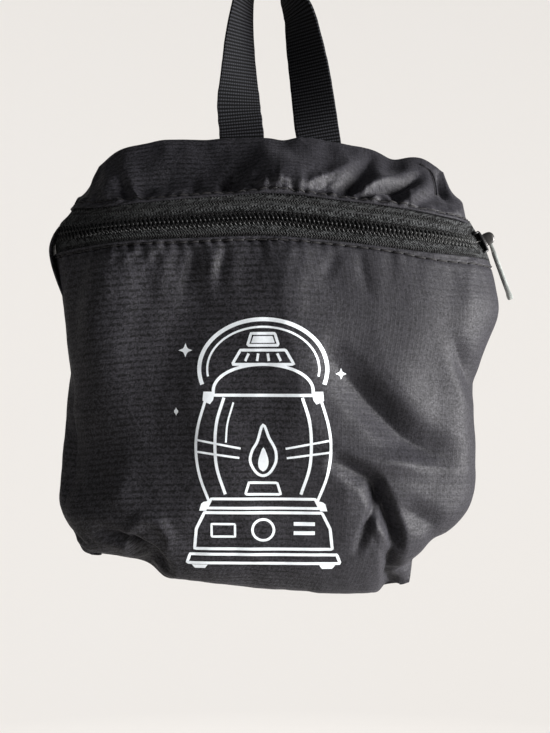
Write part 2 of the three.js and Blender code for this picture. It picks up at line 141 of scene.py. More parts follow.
def bare(s, t):
    """The pocket's face without folds: s is -1 at the left outline, 0 mid front, 1 at the right outline, 2 mid back."""
    s, t = np.broadcast_arrays(np.asarray(s, float), np.asarray(t, float))
    s = (s + 2) % 4 - 2
    back = np.abs(s) > 1
    q = np.where(back, np.sign(s) * (2 - np.abs(s)), s)
    u = np.sin(np.pi / 2 * q)
    n = np.where(back, 4.0, 3.2)
    v = np.sqrt(np.maximum(1 - np.abs(u) ** n, 0))
    row = along(TABLE, t)
    xl, xr, yf, yb, yc = row[..., 0], row[..., 1], row[..., 9], row[..., 10], row[..., 11]
    y = np.where(back, yc + (yb - yc) * v, yc - (yc - yf) * v)
    h = row[..., 2:9]
    ext = np.concatenate([2 * h[..., :1] - h[..., 1:2], h, 2 * h[..., -1:] - h[..., -2:-1]], -1)
    w = (u + 1) * 3
    i = np.clip(np.floor(w).astype(int), 0, 5)
    f = w - i
    a, b, c, d = (np.take_along_axis(ext, (i + k)[..., None], -1)[..., 0] for k in range(4))
    z = b + 0.5 * f * (c - a + f * (2 * a - 5 * b + 4 * c - d + f * (3 * (b - c) + d - a)))
    return nudged(np.stack([(xl + xr) / 2 + u * (xr - xl) / 2, y, z], -1))


# small corrections of the outline: x, z, move in x, move in z, reach, all in mm
NUDGES = [
    (72, -79, 0.2, 5.2, 13), (86, -97, 1.6, 1.2, 9), (48, -73, 0.6, 1.4, 9), (-67, -74, -2.2, 3.4, 13), (-92, -108, -1.6, 0.8, 5), (-88, -98.5, 2.0, 0.2, 5),
    (61, -269, 1.6, -2.8, 9), (73, -247, -1.4, 1.4, 7), (-45, -265, -1.2, -3.6, 9), (7, -68, 0.0, -1.6, 6), (91, -111, -0.8, 0.6, 7),
    (57, -78, -0.7, -1.4, 7), (-47, -72, 0, 1.6, 14), (84, -99, 1.0, 0.9, 6), (-86, -99, -1.8, 1.4, 8), (48, -270, 0.8, -2.2, 7),
]


def nudged(p):
    out = p.copy()
    for x, z, dx, dz, reach in NUDGES:
        w = np.exp(-((p[..., 0] - x) ** 2 + (p[..., 2] - z) ** 2) / (2 * (reach * 0.6) ** 2))
        out[..., 0] += dx * w
        out[..., 2] += dz * w
    return out


def unit(v):
    return v / np.maximum(np.linalg.norm(v, axis=-1, keepdims=True), 1e-12)


def normal(s, t):
    e, g = 0.01, 0.03
    ds = bare(s + e, t) - bare(s - e, t)
    dt = bare(s, np.minimum(t + g, LAST)) - bare(s, np.maximum(t - g, 0))
    return -unit(np.cross(ds, dt))


def polyline(x, z, pts):
    """(distance to the polyline, place along it from 0 to 1, signed side)."""
    best = np.full(x.shape, np.inf)
    place = np.zeros(x.shape)
    side = np.zeros(x.shape)
    for i in range(len(pts) - 1):
        (ax, az), (bx, bz) = pts[i], pts[i + 1]
        lx, lz = bx - ax, bz - az
        f = np.clip(((x - ax) * lx + (z - az) * lz) / (lx * lx + lz * lz), 0, 1)
        dx, dz = x - ax - f * lx, z - az - f * lz
        d = np.hypot(dx, dz)
        near = d < best
        best = np.where(near, d, best)
        place = np.where(near, (i + f) / (len(pts) - 1), place)
        side = np.where(near, np.sign(lx * dz - lz * dx), side)
    return best, place, side


def folds(x, z, table):
    total = np.zeros(x.shape)
    for _, depth, half, sharp, pts in table:
        d, f, _ = polyline(x, z, pts)
        r = np.minimum(d / half, 1)
        total += depth * np.sin(np.pi * (0.14 + 0.78 * f)) * ((1 - sharp) * 0.5 * (1 + np.cos(np.pi * r)) + sharp * (1 - r) ** 2)
    return total


# ------------------------------------------------------------------ seeded noise
def lattice(seed, shape):
    return np.random.default_rng(seed).uniform(-1, 1, shape)


def noise2(x, y, seed):
    g = lattice(seed, (64, 64))
    xi, yi = np.floor(x).astype(int), np.floor(y).astype(int)
    fx, fy = x - xi, y - yi
    fx, fy = fx * fx * fx * (fx * (6 * fx - 15) + 10), fy * fy * fy * (fy * (6 * fy - 15) + 10)
    a, b = g[xi % 64, yi % 64], g[(xi + 1) % 64, yi % 64]
    c, d = g[xi % 64, (yi + 1) % 64], g[(xi + 1) % 64, (yi + 1) % 64]
    return (a * (1 - fx) + b * fx) * (1 - fy) + (c * (1 - fx) + d * fx) * fy


def fractal(x, y, seed, octaves=4, gain=0.5):
    total, amp, norm = 0, 1, 0
    for k in range(octaves):
        total = total + amp * noise2(x * 2**k + 7.3 * k, y * 2**k + 3.1 * k, seed + k)
        norm += amp
        amp *= gain
    return total / norm


def smooth(a, b, x):
    f = np.clip((x - a) / (b - a), 0, 1)
    return f * f * (3 - 2 * f)


# ------------------------------------------------------------------ mesh helpers
def new_object(name, verts, faces, material, body="pouch", uvs=None, smooth_shade=True):
    me = bpy.data.meshes.new(name)
    me.from_pydata([tuple(v) for v in np.asarray(verts, float) * MM], [], [tuple(int(i) for i in f) for f in faces])
    me.update()
    if uvs is not None:
        layer = me.uv_layers.new(name="cloth")
        idx = np.empty(len(me.loops), np.int32)
        me.loops.foreach_get("vertex_index", idx)
        layer.data.foreach_set("uv", np.asarray(uvs, float)[idx].astype(np.float32).ravel())
    me.polygons.foreach_set("use_smooth", np.full(len(me.polygons), smooth_shade))
    ob = bpy.data.objects.new(name, me)
    bpy.context.scene.collection.objects.link(ob)
    me.materials.append(material)
    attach(ob, body)
    return ob


def grid_faces(nu, nv, flip=False, start=0):
    j, i = np.mgrid[0:nv, 0:nu]
    a = (j * (nu + 1) + i + start).ravel()
    b, c, d = a + 1, a + nu + 2, a + nu + 1
    return np.stack([a, d, c, b] if not flip else [a, b, c, d], -1)


def merge(parts):
    verts, faces, base = [], [], 0
    for v, f in parts:
        verts.append(np.asarray(v, float))
        faces += [tuple(int(k) + base for k in q) for q in f]
        base += len(v)
    return np.concatenate(verts), faces


def lengths(grid, axis):
    d = np.linalg.norm(np.diff(grid, axis=axis), axis=-1)
    pad = np.zeros_like(np.take(d, [0], axis))
    return np.concatenate([pad, np.cumsum(d, axis)], axis)


def tube(path, radius, sides=8, closed=False, caps=True, squash=1.0, up=(0, 0, 1)):
    """Round bar along a path of points."""
    p = np.asarray(path, float)
    n = len(p)
    r = np.broadcast_to(np.asarray(radius, float), (n,))
    if closed:
        t = unit(np.roll(p, -1, 0) - np.roll(p, 1, 0))
    else:
        t = unit(np.gradient(p, axis=0))
    u = unit(np.cross(t, np.broadcast_to(np.asarray(up, float), t.shape)) + 1e-9)
    w = np.cross(u, t)
    ang = 2 * np.pi * (np.arange(sides) + 0.5) / sides
    v = p[:, None] + r[:, None, None] * (np.cos(ang)[None, :, None] * u[:, None] + squash * np.sin(ang)[None, :, None] * w[:, None])
    verts = v.reshape(-1, 3)
    faces = []
    for k in range(n if closed else n - 1):
        for i in range(sides):
            a, b = k * sides + i, k * sides + (i + 1) % sides
            c, d = ((k + 1) % n) * sides + (i + 1) % sides, ((k + 1) % n) * sides + i
            faces.append((a, b, c, d))
    if caps and not closed:
        faces.append(tuple(range(sides - 1, -1, -1)))
        faces.append(tuple((n - 1) * sides + i for i in range(sides)))
    return verts, faces


# ------------------------------------------------------------------ materials
class Nodes:
    def __init__(self, name):
        self.m = bpy.data.materials.new(name)
        self.m.use_nodes = True
        self.t = self.m.node_tree
        self.b = self.t.nodes["Principled BSDF"]

    def new(self, kind, **values):
        n = self.t.nodes.new(kind)
        for k, v in values.items():
            setattr(n, k, v)
        return n

    def link(self, a, b):
        self.t.links.new(a, b)

    def math(self, op, a, b=None, c=None, clamp=False):
        n = self.new("ShaderNodeMath", operation=op)
        n.use_clamp = clamp
        for k, v in enumerate((a, b, c)):
            if v is None:
                continue
            if isinstance(v, (int, float)):
                n.inputs[k].default_value = v
            else:
                self.link(v, n.inputs[k])
        return n.outputs[0]

    def ramp(self, value, lo, hi):
        n = self.new("ShaderNodeMapRange")
        n.clamp = True
        self.link(value, n.inputs["Value"])
        n.inputs["From Min"].default_value, n.inputs["From Max"].default_value = lo, hi
        return n.outputs[0]

    def mix(self, fac, a, b):
        n = self.new("ShaderNodeMix", data_type="RGBA")
        for sock, v in ((n.inputs[0], fac), (n.inputs[6], a), (n.inputs[7], b)):
            if isinstance(v, (int, float)):
                sock.default_value = v
            elif isinstance(v, tuple):
                sock.default_value = (*v, 1)
            else:
                self.link(v, sock)
        return n.outputs[2]

    def noise(self, coord, scale, detail=3, rough=0.5):
        n = self.new("ShaderNodeTexNoise")
        n.inputs["Scale"].default_value = scale
        n.inputs["Detail"].default_value = detail
        n.inputs["Roughness"].default_value = rough
        self.link(coord, n.inputs["Vector"])
        return n.outputs["Fac"]

    def uv(self):
        n = self.new("ShaderNodeUVMap", uv_map="cloth")
        s = self.new("ShaderNodeSeparateXYZ")
        self.link(n.outputs[0], s.inputs[0])
        return n.outputs[0], s.outputs[0], s.outputs[1]

    def threads(self, u, v, wide, tall, shift=0.0):
        """A grey for each float of the weave, wide x tall mm."""
        n = self.new("ShaderNodeCombineXYZ")
        row = self.math("FLOOR", self.math("DIVIDE", v, tall))
        self.link(self.math("FLOOR", self.math("ADD", self.math("DIVIDE", u, wide), self.math("MULTIPLY", row, 0.5))), n.inputs[0])
        self.link(row, n.inputs[1])
        n.inputs[2].default_value = shift
        w = self.new("ShaderNodeTexWhiteNoise", noise_dimensions="3D")
        self.link(n.outputs[0], w.inputs["Vector"])
        return w.outputs["Value"]

    def bump(self, height, strength, distance, into=None):
        n = self.new("ShaderNodeBump")
        n.inputs["Strength"].default_value = strength
        n.inputs["Distance"].default_value = distance
        self.link(height, n.inputs["Height"])
        if into is not None:
            self.link(into, n.inputs["Normal"])
        return n.outputs[0]

    def set(self, **values):
        for k, v in values.items():
            sock = self.b.inputs[k.replace("_", " ")]
            if isinstance(v, (int, float)):
                sock.default_value = v
            elif isinstance(v, tuple):
                sock.default_value = (*v, 1)
            else:
                self.link(v, sock)


def line(n, coord, pitch, width):
    """1 on thin lines every pitch mm along coord, 0 between."""
    f = n.math("FRACT", n.math("DIVIDE", coord, pitch))
    d = n.math("ABSOLUTE", n.math("SUBTRACT", f, 0.5))
    return n.math("SUBTRACT", 1.0, n.ramp(d, 0.0, width / pitch / 2))


def ripstop(name="ripstop_cloth"):
    n = Nodes(name)
    uv, u, v = n.uv()
    obj = n.new("ShaderNodeTexCoord").outputs["Object"]
    cross = line(n, u, 1.8, 0.7)
    rows = n.math("MULTIPLY", line(n, v, 2.7, 1.5), 1.7, clamp=True)
    # plain weave between the ripstop's thicker threads
    fine_u = n.math("SINE", n.math("MULTIPLY", u, 2 * math.pi / 0.62))
    fine_v = n.math("SINE", n.math("MULTIPLY", v, 2 * math.pi / 0.58))
    weave = n.math("MULTIPLY", fine_u, fine_v)
    floats = n.math("ADD", n.threads(u, v, 0.92, 0.5), n.threads(v, u, 0.82, 0.46, 7.0))
    flecks = n.ramp(n.math("ADD", floats, n.math("MULTIPLY", n.noise(uv, 0.9, 2, 0.7), 0.35)), 0.30, 2.0)
    place = n.new("ShaderNodeSeparateXYZ")
    n.link(obj, place.inputs[0])
    broken = n.ramp(n.noise(uv, 0.55, 2, 0.6), 0.38, 0.6)
    drift = n.math("ADD", place.outputs[0], n.math("MULTIPLY", n.math("SUBTRACT", n.noise(uv, 0.035, 2, 0.5), 0.5), 0.08))
    patch = n.math("SUBTRACT", 1.0, n.ramp(drift, 0.0, 0.035))
    wear = n.ramp(n.noise(obj, 30, 4, 0.6), 0.3, 0.75)
    flecks = n.math("ADD", n.math("MULTIPLY", n.math("SUBTRACT", flecks, 0.45), n.math("ADD", 0.72, n.math("MULTIPLY", patch, 0.4))), 0.45, clamp=True)
    tone = n.mix(wear, (0.0122, 0.0118, 0.0146), (0.0158, 0.0154, 0.0187))
    tone = n.mix(flecks, n.mix(0.7, tone, (0.0008, 0.0008, 0.0012)), n.mix(0.68, tone, (0.049, 0.0475, 0.0570)))
    dark_rows = n.math("MULTIPLY", n.math("MULTIPLY", rows, broken), n.math("ADD", n.math("MULTIPLY", patch, 0.75), 0.2))
    tone = n.mix(dark_rows, tone, (0.0015, 0.0015, 0.002))
    pale = n.math("MULTIPLY", n.math("MULTIPLY", cross, n.math("SUBTRACT", 1.0, patch)), 0.35)
    tone = n.mix(pale, tone, (0.034, 0.033, 0.038))
    n.set(Base_Color=tone)
    n.set(Roughness=n.math("SUBTRACT", 0.68, n.math("MULTIPLY", flecks, 0.2)))
    n.b.inputs["Specular IOR Level"].default_value = 0.24
    n.b.inputs["Sheen Weight"].default_value = 0.06
    n.b.inputs["Sheen Roughness"].default_value = 0.4
    n.b.inputs["Sheen Tint"].default_value = (0.72, 0.71, 0.80, 1)
    height = n.math("ADD", n.math("MULTIPLY", n.math("SUBTRACT", rows, n.math("MULTIPLY", cross, 0.6)), -0.6), n.math("MULTIPLY", weave, 0.3))
    b1 = n.bump(height, 0.7, 0.00010)
    b2 = n.bump(flecks, 0.45, 0.00012, b1)
    crinkle = n.noise(obj, 260, 3, 0.55)
    n.set(Normal=n.bump(crinkle, 0.12, 0.0005, b2))
    return n.m


def tape_cloth():
    n = Nodes("zipper_tape_weave")
    uv, u, v = n.uv()
    # twill ribs that turn every few threads
    zig = n.math("ABSOLUTE", n.math("SUBTRACT", n.math("FRACT", n.math("DIVIDE", v, 3.4)), 0.5))
    d = n.math("ADD", u, n.math("MULTIPLY", zig, 4.2))
    rib = n.math("SINE", n.math("MULTIPLY", d, 2 * math.pi / 1.3))
    cross = n.math("SINE", n.math("MULTIPLY", v, 2 * math.pi / 0.6))
    speck = n.ramp(n.math("ADD", n.threads(u, v, 1.25, 0.85), n.threads(v, u, 1.15, 0.8, 3.0)), 0.55, 1.45)
    h = n.math("ADD", n.math("ADD", rib, n.math("MULTIPLY", cross, 0.45)), n.math("MULTIPLY", speck, 3.0))
    tone = n.mix(n.ramp(h, 0.3, 3.4), (0.0004, 0.0005, 0.0005), (0.066, 0.069, 0.0705))
    n.set(Base_Color=tone, Roughness=0.8)
    n.b.inputs["Specular IOR Level"].default_value = 0.14
    n.b.inputs["Sheen Weight"].default_value = 0.04
    n.b.inputs["Sheen Roughness"].default_value = 0.5
    n.set(Normal=n.bump(h, 0.8, 0.00016))
    return n.m


def webbing_cloth():
    n = Nodes("webbing_weave")
    uv, u, v = n.uv()
    # ribs across, with the dark gap between them, each rib made of short floats
    rib = n.math("ABSOLUTE", n.math("SINE", n.math("MULTIPLY", v, math.pi / RIB)))
    col = n.math("ABSOLUTE", n.math("SINE", n.math("MULTIPLY", u, math.pi / 1.15)))
    speck = n.ramp(n.noise(uv, 1.7, 2, 0.85), 0.34, 0.66)
    h = n.math("MULTIPLY", n.math("POWER", rib, 1.3), n.math("ADD", n.math("MULTIPLY", n.math("POWER", col, 0.8), 0.65), 0.35))
    tone = n.mix(n.ramp(h, 0.3, 0.95), (0.0001, 0.0001, 0.0002), (0.028, 0.029, 0.034))
    tone = n.mix(n.math("MULTIPLY", speck, 0.3), tone, (0.003, 0.003, 0.0036))
    n.set(Base_Color=tone, Roughness=0.66)
    n.b.inputs["Specular IOR Level"].default_value = 0.08
    n.b.inputs["Sheen Weight"].default_value = 0.02
    n.set(Normal=n.bump(n.math("ADD", h, n.math("MULTIPLY", speck, 0.3)), 0.8, 0.00022))
    return n.m


RIB = 1.45


def plain(name, colour, rough, metal=0.0, grain=300, spread_=0.3, coat=0.0, bump=0.0002):
    n = Nodes(name)
    obj = n.new("ShaderNodeTexCoord").outputs["Object"]
    f = n.noise(obj, grain, 4, 0.6)
    dark = tuple(c * (1 - spread_) for c in colour)
    pale = tuple(min(c * (1 + spread_), 1) for c in colour)
    n.set(Base_Color=n.mix(n.ramp(f, 0.3, 0.7), dark, pale))
    n.set(Roughness=n.math("ADD", n.math("MULTIPLY", f, 0.2), rough - 0.1))
    n.b.inputs["Metallic"].default_value = metal
    n.b.inputs["Coat Weight"].default_value = coat
    n.set(Normal=n.bump(f, 0.25, bump))
    return n.m


CLOTH_M = ripstop()
TAPE_M = tape_cloth()
WEB_M = webbing_cloth()
def coil_nylon():
    n = Nodes("coil_nylon")
    obj = n.new("ShaderNodeTexCoord").outputs["Object"]
    sep = n.new("ShaderNodeSeparateXYZ")
    n.link(obj, sep.inputs[0])
    f = n.noise(obj, 900, 4, 0.6)
    # painted light: the coil's colour turns paler from x 38 mm to 86 mm, toward the right end where the light falls
    painted_light_right = n.ramp(sep.outputs[0], 0.038, 0.086)
    tone = n.mix(n.ramp(f, 0.3, 0.7), n.mix(painted_light_right, (0.003, 0.003, 0.0032), (0.022, 0.023, 0.022)), n.mix(painted_light_right, (0.013, 0.013, 0.014), (0.060, 0.061, 0.060)))
    n.set(Base_Color=tone, Roughness=n.math("ADD", n.math("MULTIPLY", f, 0.25), 0.32), Normal=n.bump(f, 0.25, 0.0002))
    return n.m


COIL_M = coil_nylon()
THREAD_M = plain("black_thread", (0.0045, 0.0035, 0.0042), 0.7, grain=1500)
LIGHT_THREAD_M = plain("grey_thread", (0.060, 0.0635, 0.063), 0.6, grain=1500, spread_=0.6)
SLIDER_M = plain("black_enamel", (0.010, 0.010, 0.011), 0.42, grain=500, spread_=0.25)
CROWN_M = plain("gunmetal", (0.075, 0.073, 0.072), 0.33, metal=0.85, grain=500, spread_=0.25)
PULL_M = plain("satin_metal", (0.27, 0.288, 0.275), 0.55, metal=0.35, grain=600, spread_=0.25)
PRINT_M = plain("white_print", (0.84, 0.89, 0.93), 0.55, grain=700, spread_=0.06)


# ------------------------------------------------------------------ cloth simulation
def project(a, b, wa, wb, rest, stretch, squeeze):
    """Move two sets of points towards their rest distance."""
    d = b - a
    length = np.sqrt(np.einsum("...i,...i->...", d, d)) + 1e-9
    err = length - rest
    k = np.where(err > 0, stretch, squeeze) * err / length / np.maximum(wa + wb, 1e-9)
    move = d * k[..., None]
    a += move * wa[..., None]
    b -= move * wb[..., None]


def cut(a, b):
    n = min(len(range(*a)), len(range(*b)))
    return slice(a[0], a[0] + (n - 1) * a[2] + 1, a[2]), slice(b[0], b[0] + (n - 1) * b[2] + 1, b[2])


def relax(P, n0, W, extra_u, extra_v, steps, load, gravity, inside, outside, bend, base):
    """Cloth that is a little too long for its frame: it buckles between its sewn edges and lies on the bundle.

    P (rows, columns, 3) are the start points, W is 0 where the cloth is sewn down, extra_u and extra_v are the
    spare length across and down, and inside and outside bound how far a point may leave the base surface."""
    R, C = P.shape[:2]
    rest_u = np.linalg.norm(np.diff(base, axis=1), axis=-1) * (1 + 0.5 * (extra_u[:, 1:] + extra_u[:, :-1]))
    rest_v = np.linalg.norm(np.diff(base, axis=0), axis=-1) * (1 + 0.5 * (extra_v[1:] + extra_v[:-1]))
    far_u = np.linalg.norm(base[:, 2:] - base[:, :-2], axis=-1) * (1 + extra_u[:, 1:-1])
    far_v = np.linalg.norm(base[2:] - base[:-2], axis=-1) * (1 + extra_v[1:-1])
    e = 0.5 * (extra_u + extra_v)
    ec = 0.25 * (e[1:, 1:] + e[1:, :-1] + e[:-1, 1:] + e[:-1, :-1])
    dia_a = np.linalg.norm(base[1:, 1:] - base[:-1, :-1], axis=-1) * (1 + ec)
    dia_b = np.linalg.norm(base[1:, :-1] - base[:-1, 1:], axis=-1) * (1 + ec)
    free = (W > 0)[..., None]
    last = P.copy()
    for step in range(steps):
        keep = P.copy()
        P += 0.72 * (P - last) * free
        last = keep
        P += (n0 * load + np.array([0, 0, -gravity])) * W[..., None]
        for lo in (0, 1):
            a, b = cut((lo, C - 1, 2), (lo + 1, C, 2))
            project(P[:, a], P[:, b], W[:, a], W[:, b], rest_u[:, a], 1.0, 0.75)
            a, b = cut((lo, R - 1, 2), (lo + 1, R, 2))
            project(P[a], P[b], W[a], W[b], rest_v[a], 1.0, 0.75)
        for lo in range(2):
            a, b = cut((lo, R - 1, 2), (lo + 1, R, 2))
            for lc in range(2):
                c, d = cut((lc, C - 1, 2), (lc + 1, C, 2))
                project(P[a, c], P[b, d], W[a, c], W[b, d], dia_a[a, c], 0.3, 0.2)
                project(P[a, d], P[b, c], W[a, d], W[b, c], dia_b[a, c], 0.3, 0.2)
        for lo in range(4):
            a, b = cut((lo, C - 2, 4), (lo + 2, C, 4))
            project(P[:, a], P[:, b], W[:, a], W[:, b], far_u[:, a], bend, bend)
            a, b = cut((lo, R - 2, 4), (lo + 2, R, 4))
            project(P[a], P[b], W[a], W[b], far_v[a], bend, bend)
        off = np.einsum("...i,...i->...", P - base, n0)
        P += n0 * (np.clip(off, -inside, outside) - off)[..., None] * free
        P[W == 0] = base[W == 0]
    return P


def resample(D, rows, cols):
    """Smooth values of a coarse grid D at fractional rows and columns."""

    def one(V, t):
        n = len(V)
        ext = np.concatenate([2 * V[:1] - V[1:2], V, 2 * V[-1:] - V[-2:-1]])
        i = np.clip(np.floor(t).astype(int), 0, n - 2)
        f = (t - i).reshape((-1,) + (1,) * (V.ndim - 1))
        a, b, c, d = ext[i], ext[i + 1], ext[i + 2], ext[i + 3]
        return b + 0.5 * f * (c - a + f * (2 * a - 5 * b + 4 * c - d + f * (3 * (b - c) + d - a)))

    return np.swapaxes(one(np.swapaxes(one(D, rows), 0, 1), cols), 0, 1)


def soften(D, amount):
    """Smooth a grid of moves a few times, the rim left as it is."""
    for _ in range(amount):
        E = D.copy()
        E[1:-1] += 0.25 * (D[2:] - 2 * D[1:-1] + D[:-2])
        D = E.copy()
        E[:, 1:-1] += 0.25 * (D[:, 2:] - 2 * D[:, 1:-1] + D[:, :-2])
        D = E
    return D


def simulate(base_of, s, t, extra_of, seed, load=0.0, gravity=0.003, inside=2.4, outside=1.9, bend=0.3, soft=5, sizes=((46, 84, 90), (91, 167, 110), (161, 301, 60))):
    """Moves of the cloth on the grid s, t, from a simulation on coarser grids, each starting from the last."""
    moved = None
    for rows, cols, steps in sizes:
        fs, ft = np.linspace(0, len(s) - 1, cols), np.linspace(0, len(t) - 1, rows)
        cs, ct = np.interp(fs, np.arange(len(s)), s), np.interp(ft, np.arange(len(t)), t)
        S, T = np.meshgrid(cs, ct)
        base, n0 = base_of(S, T)
        eu, ev, reach = extra_of(S, T, base)
        W = np.ones((rows, cols))
        W[0] = W[-1] = 0
        W[:, 0] = W[:, -1] = 0
        W[reach < 0.3] = 0
        start = base.copy()
        if moved is None:
            bump = 0.5 * fractal(base[..., 0] / 11.0, base[..., 2] / 13.0, seed, 3)
            start += n0 * (bump * W)[..., None]
        else:
            start += resample(moved, np.linspace(0, moved.shape[0] - 1, rows), np.linspace(0, moved.shape[1] - 1, cols))
            start += n0 * (0.12 * fractal(base[..., 0] / 5.0, base[..., 2] / 6.0, seed + 5, 2) * W)[..., None]
        P = relax(start, n0, W, eu, ev, steps, load, gravity, inside * reach, outside * reach, bend, base)
        moved = soften(P - base, 2)
    moved = soften(moved, soft)
    return resample(moved, np.linspace(0, moved.shape[0] - 1, len(t)), np.linspace(0, moved.shape[1] - 1, len(s)))


# ------------------------------------------------------------------ fine relief of the cloth
def puckers(arc, dist, seed, amp, reach):
    """Gathers that run away from a seam: arc is the place along the seam, dist the distance from it, in mm."""
    warp = 2.6 * noise2(arc / 17.0, dist / 30.0 + 5, seed)
    a = noise2((arc + warp) / 5.2, np.zeros_like(arc) + dist / 60.0, seed + 1)
    b = noise2((arc + warp) / 2.9 + 31, np.zeros_like(arc) + dist / 40.0, seed + 2)
    where = 0.55 + 0.45 * noise2(arc / 24.0, dist * 0 + 3.3, seed + 3)
    fade = np.exp(-dist / reach) * smooth(0.0, 1.6, dist)
    return amp * where * fade * (a + 0.45 * b * np.exp(-dist / (0.4 * reach)))


def lump(s, t):
    """The pocket's face with its big folds: what the cloth lies on."""
    p, n = bare(s, t), normal(s, t)
    inside = np.where(np.abs(s) < 1, np.clip((1 - np.abs(s)) / 0.12, 0, 1), 0)
    x, z = p[..., 0], p[..., 2]
    d = np.minimum(seam_distance(s, t, ROW["lower_edge"]), seam_distance(s, t, ROW["upper_edge"]))
    out = inside * folds(x, z, FOLDS) * (0.12 + 0.88 * smooth(0, 6.5, d)) + inside * (0.9 - 0.5 * smooth(25, 60, x)) * fractal(x / 34.0, z / 30.0, 11, 3) * smooth(0, 8, d)
    return p + n * out[..., None], n


def seam_distance(s, t, row):
    p = bare(s, t)
    return np.linalg.norm(p - bare(s, np.full_like(t, float(row))), axis=-1)


def front_extra(s, t, p):
    """Spare cloth across, down, and how far it may move: gathered at the zipper, the hem and the side seams."""
    top_, low = seam_distance(s, t, ROW["lower_edge"]), seam_distance(s, t, LAST)
    side = np.maximum((SEAM_S - np.abs(s)) * 55, 0)
    x, z = p[..., 0], p[..., 2]
    corner = 1.6 * np.exp(-((x - 48) ** 2 + (z + 236) ** 2) / (2 * 24**2)) + 1.4 * np.exp(-((x + 58) ** 2 + (z + 248) ** 2) / (2 * 20**2))
    calm = 1 - 0.6 * smooth(-30, -5, x) * (1 - smooth(30, 50, x)) * smooth(30, 50, top_)
    eu = (0.004 + 0.035 * np.exp(-top_ / 9.0) + 0.05 * np.exp(-low / 14.0) + 0.02 * corner) * calm
    ev = (0.004 + 0.03 * np.exp(-side / 12.0) + 0.02 * corner) * calm
    reach = smooth(0.0, 11.0, np.minimum(np.minimum(top_, low), side))
    return eu, ev, reach * (1 - 0.65 * np.exp(-(((np.abs(s) - 1) / 0.25) ** 2)))


def top_extra(s, t, p):
    top_, low = seam_distance(s, t, 0), seam_distance(s, t, ROW["upper_edge"])
    side = np.maximum((SEAM_S - np.abs(s)) * 55, 0)
    x = p[..., 0]
    gather = 0.5 + 0.9 * smooth(5, 30, x) * (1 - smooth(60, 75, x)) + 0.3 * smooth(-35, -55, x)
    eu = 0.01 + 0.06 * gather * np.exp(-low / 10.0) + 0.03 * gather * np.exp(-top_ / 9.0)
    ev = 0.008 + 0.02 * np.exp(-side / 12.0) + 0.012 * gather
    reach = smooth(0.0, 9.0, np.minimum(np.minimum(top_, low), side))
    return eu, ev, reach * (1 - 0.6 * np.exp(-(((np.abs(s) - 1) / 0.25) ** 2)))


HEM_PITCH = 5.1
HEM_FRONT = lambda x: 1.5 + 1.6 * smooth(50, 75, x)  # distance of the stitches from the hem's edge
HEM_TOP = lambda x: 1.7 + 1.3 * smooth(-50, -62, x)


def panel_points(s, t, kind):
    """Finished cloth points of a grid of s across and t down."""
    S, T = np.meshgrid(s, t)
    p, n = lump(S, T)
    if kind == "front":
        p = p + simulate(lump, s, t, front_extra, 41)
    else:
        p = p + simulate(lump, s, t, top_extra, 61, inside=2.0, outside=1.6, sizes=((25, 118, 110), (49, 235, 90)))
    s, t = S, T
    x, z = p[..., 0], p[..., 2]
    arc = x + 0.35 * np.sign(s) * np.maximum(np.abs(s) - 0.9, 0) * 120
    out = (0.16 - 0.08 * smooth(20, 60, x)) * fractal((x - 0.3 * z) / 7.0, (z + 0.3 * x) / 9.0, 53, 3)
    ridged = 1 - np.abs(fractal((x + 0.35 * z) / 20.0, (z - 0.25 * x) / 26.0, 31, 3)) * 2
    out = out + (0.26 - 0.19 * smooth(20, 60, x)) * ridged
    if kind == "front":
        d = seam_distance(s, t, ROW["lower_edge"])
        out = out + puckers(arc, d, 71, 1.25, 13.0)
        at = HEM_FRONT(x)
        u = lengths(p, 1)[:1]
        dimple = np.clip(np.cos(2 * np.pi * (u - u[:, -1:] / 2) / HEM_PITCH), 0, 1) ** 3
        out = out + pinched(u, d, at, x, 83)
        # doubled hem along the zipper, held down by its stitch line
        out = out + 0.3 * (1 - smooth(at - 0.4, at + 0.4, d)) - (0.4 + (0.9 - 0.8 * smooth(10, 50, x)) * dimple) * np.exp(-(((d - at) / 0.7) ** 2))
        out = out + puckers(arc + 200, seam_distance(s, t, LAST), 91, 0.6, 9.0)
    if kind == "top":
        d = seam_distance(s, t, ROW["upper_edge"])
        out = out + puckers(arc + 90, d, 131, 1.8, 8.0) * (0.35 + 0.65 * smooth(0, 3, d)) + (0.9 + 1.7 * smooth(-14, 4, x) * (1 - smooth(58, 66, x))) * fractal(arc / 3.1, d / 14.0 + 3, 137, 2) * np.exp(-d / 8.0) * smooth(0.0, 1.8, d)
        at = HEM_TOP(x)
        u = lengths(p, 1)[-1:]
        out = out + 1.3 * pinched(u, d, at, x, 87)
        dimple = np.clip(np.cos(2 * np.pi * (u - u[:, -1:] / 2) / HEM_PITCH), 0, 1) ** 3
        out = out + 0.3 * (1 - smooth(at - 0.4, at + 0.4, d)) - (0.5 + 0.8 * dimple) * np.exp(-(((d - at) / 0.7) ** 2))
    # side seams: cloth drawn in along them
    e = np.maximum((SEAM_S - np.abs(s)) * 55, 0)
    out = out + puckers(z + 400 + 300 * (s > 0), e, 151, 0.8, 9.0) - 0.5 * np.exp(-e / 1.5)
    return p + n * out[..., None], n


def pinched(u, d, at, x, seed):
    """Cloth that puffs up between the needle holes, over a few mm from the stitch line."""
    wave = np.cos(2 * np.pi * (u - u[:, -1:] / 2) / HEM_PITCH)
    some = 0.25 + 0.75 * np.abs(noise2(x / 11.0, x * 0 + 4.7, seed))
    return -0.55 * (1 - 0.85 * smooth(8, 45, x)) * some * wave * np.exp(-np.maximum(d - at, 0) / 3.4) * smooth(at - 1.2, at + 0.6, d)


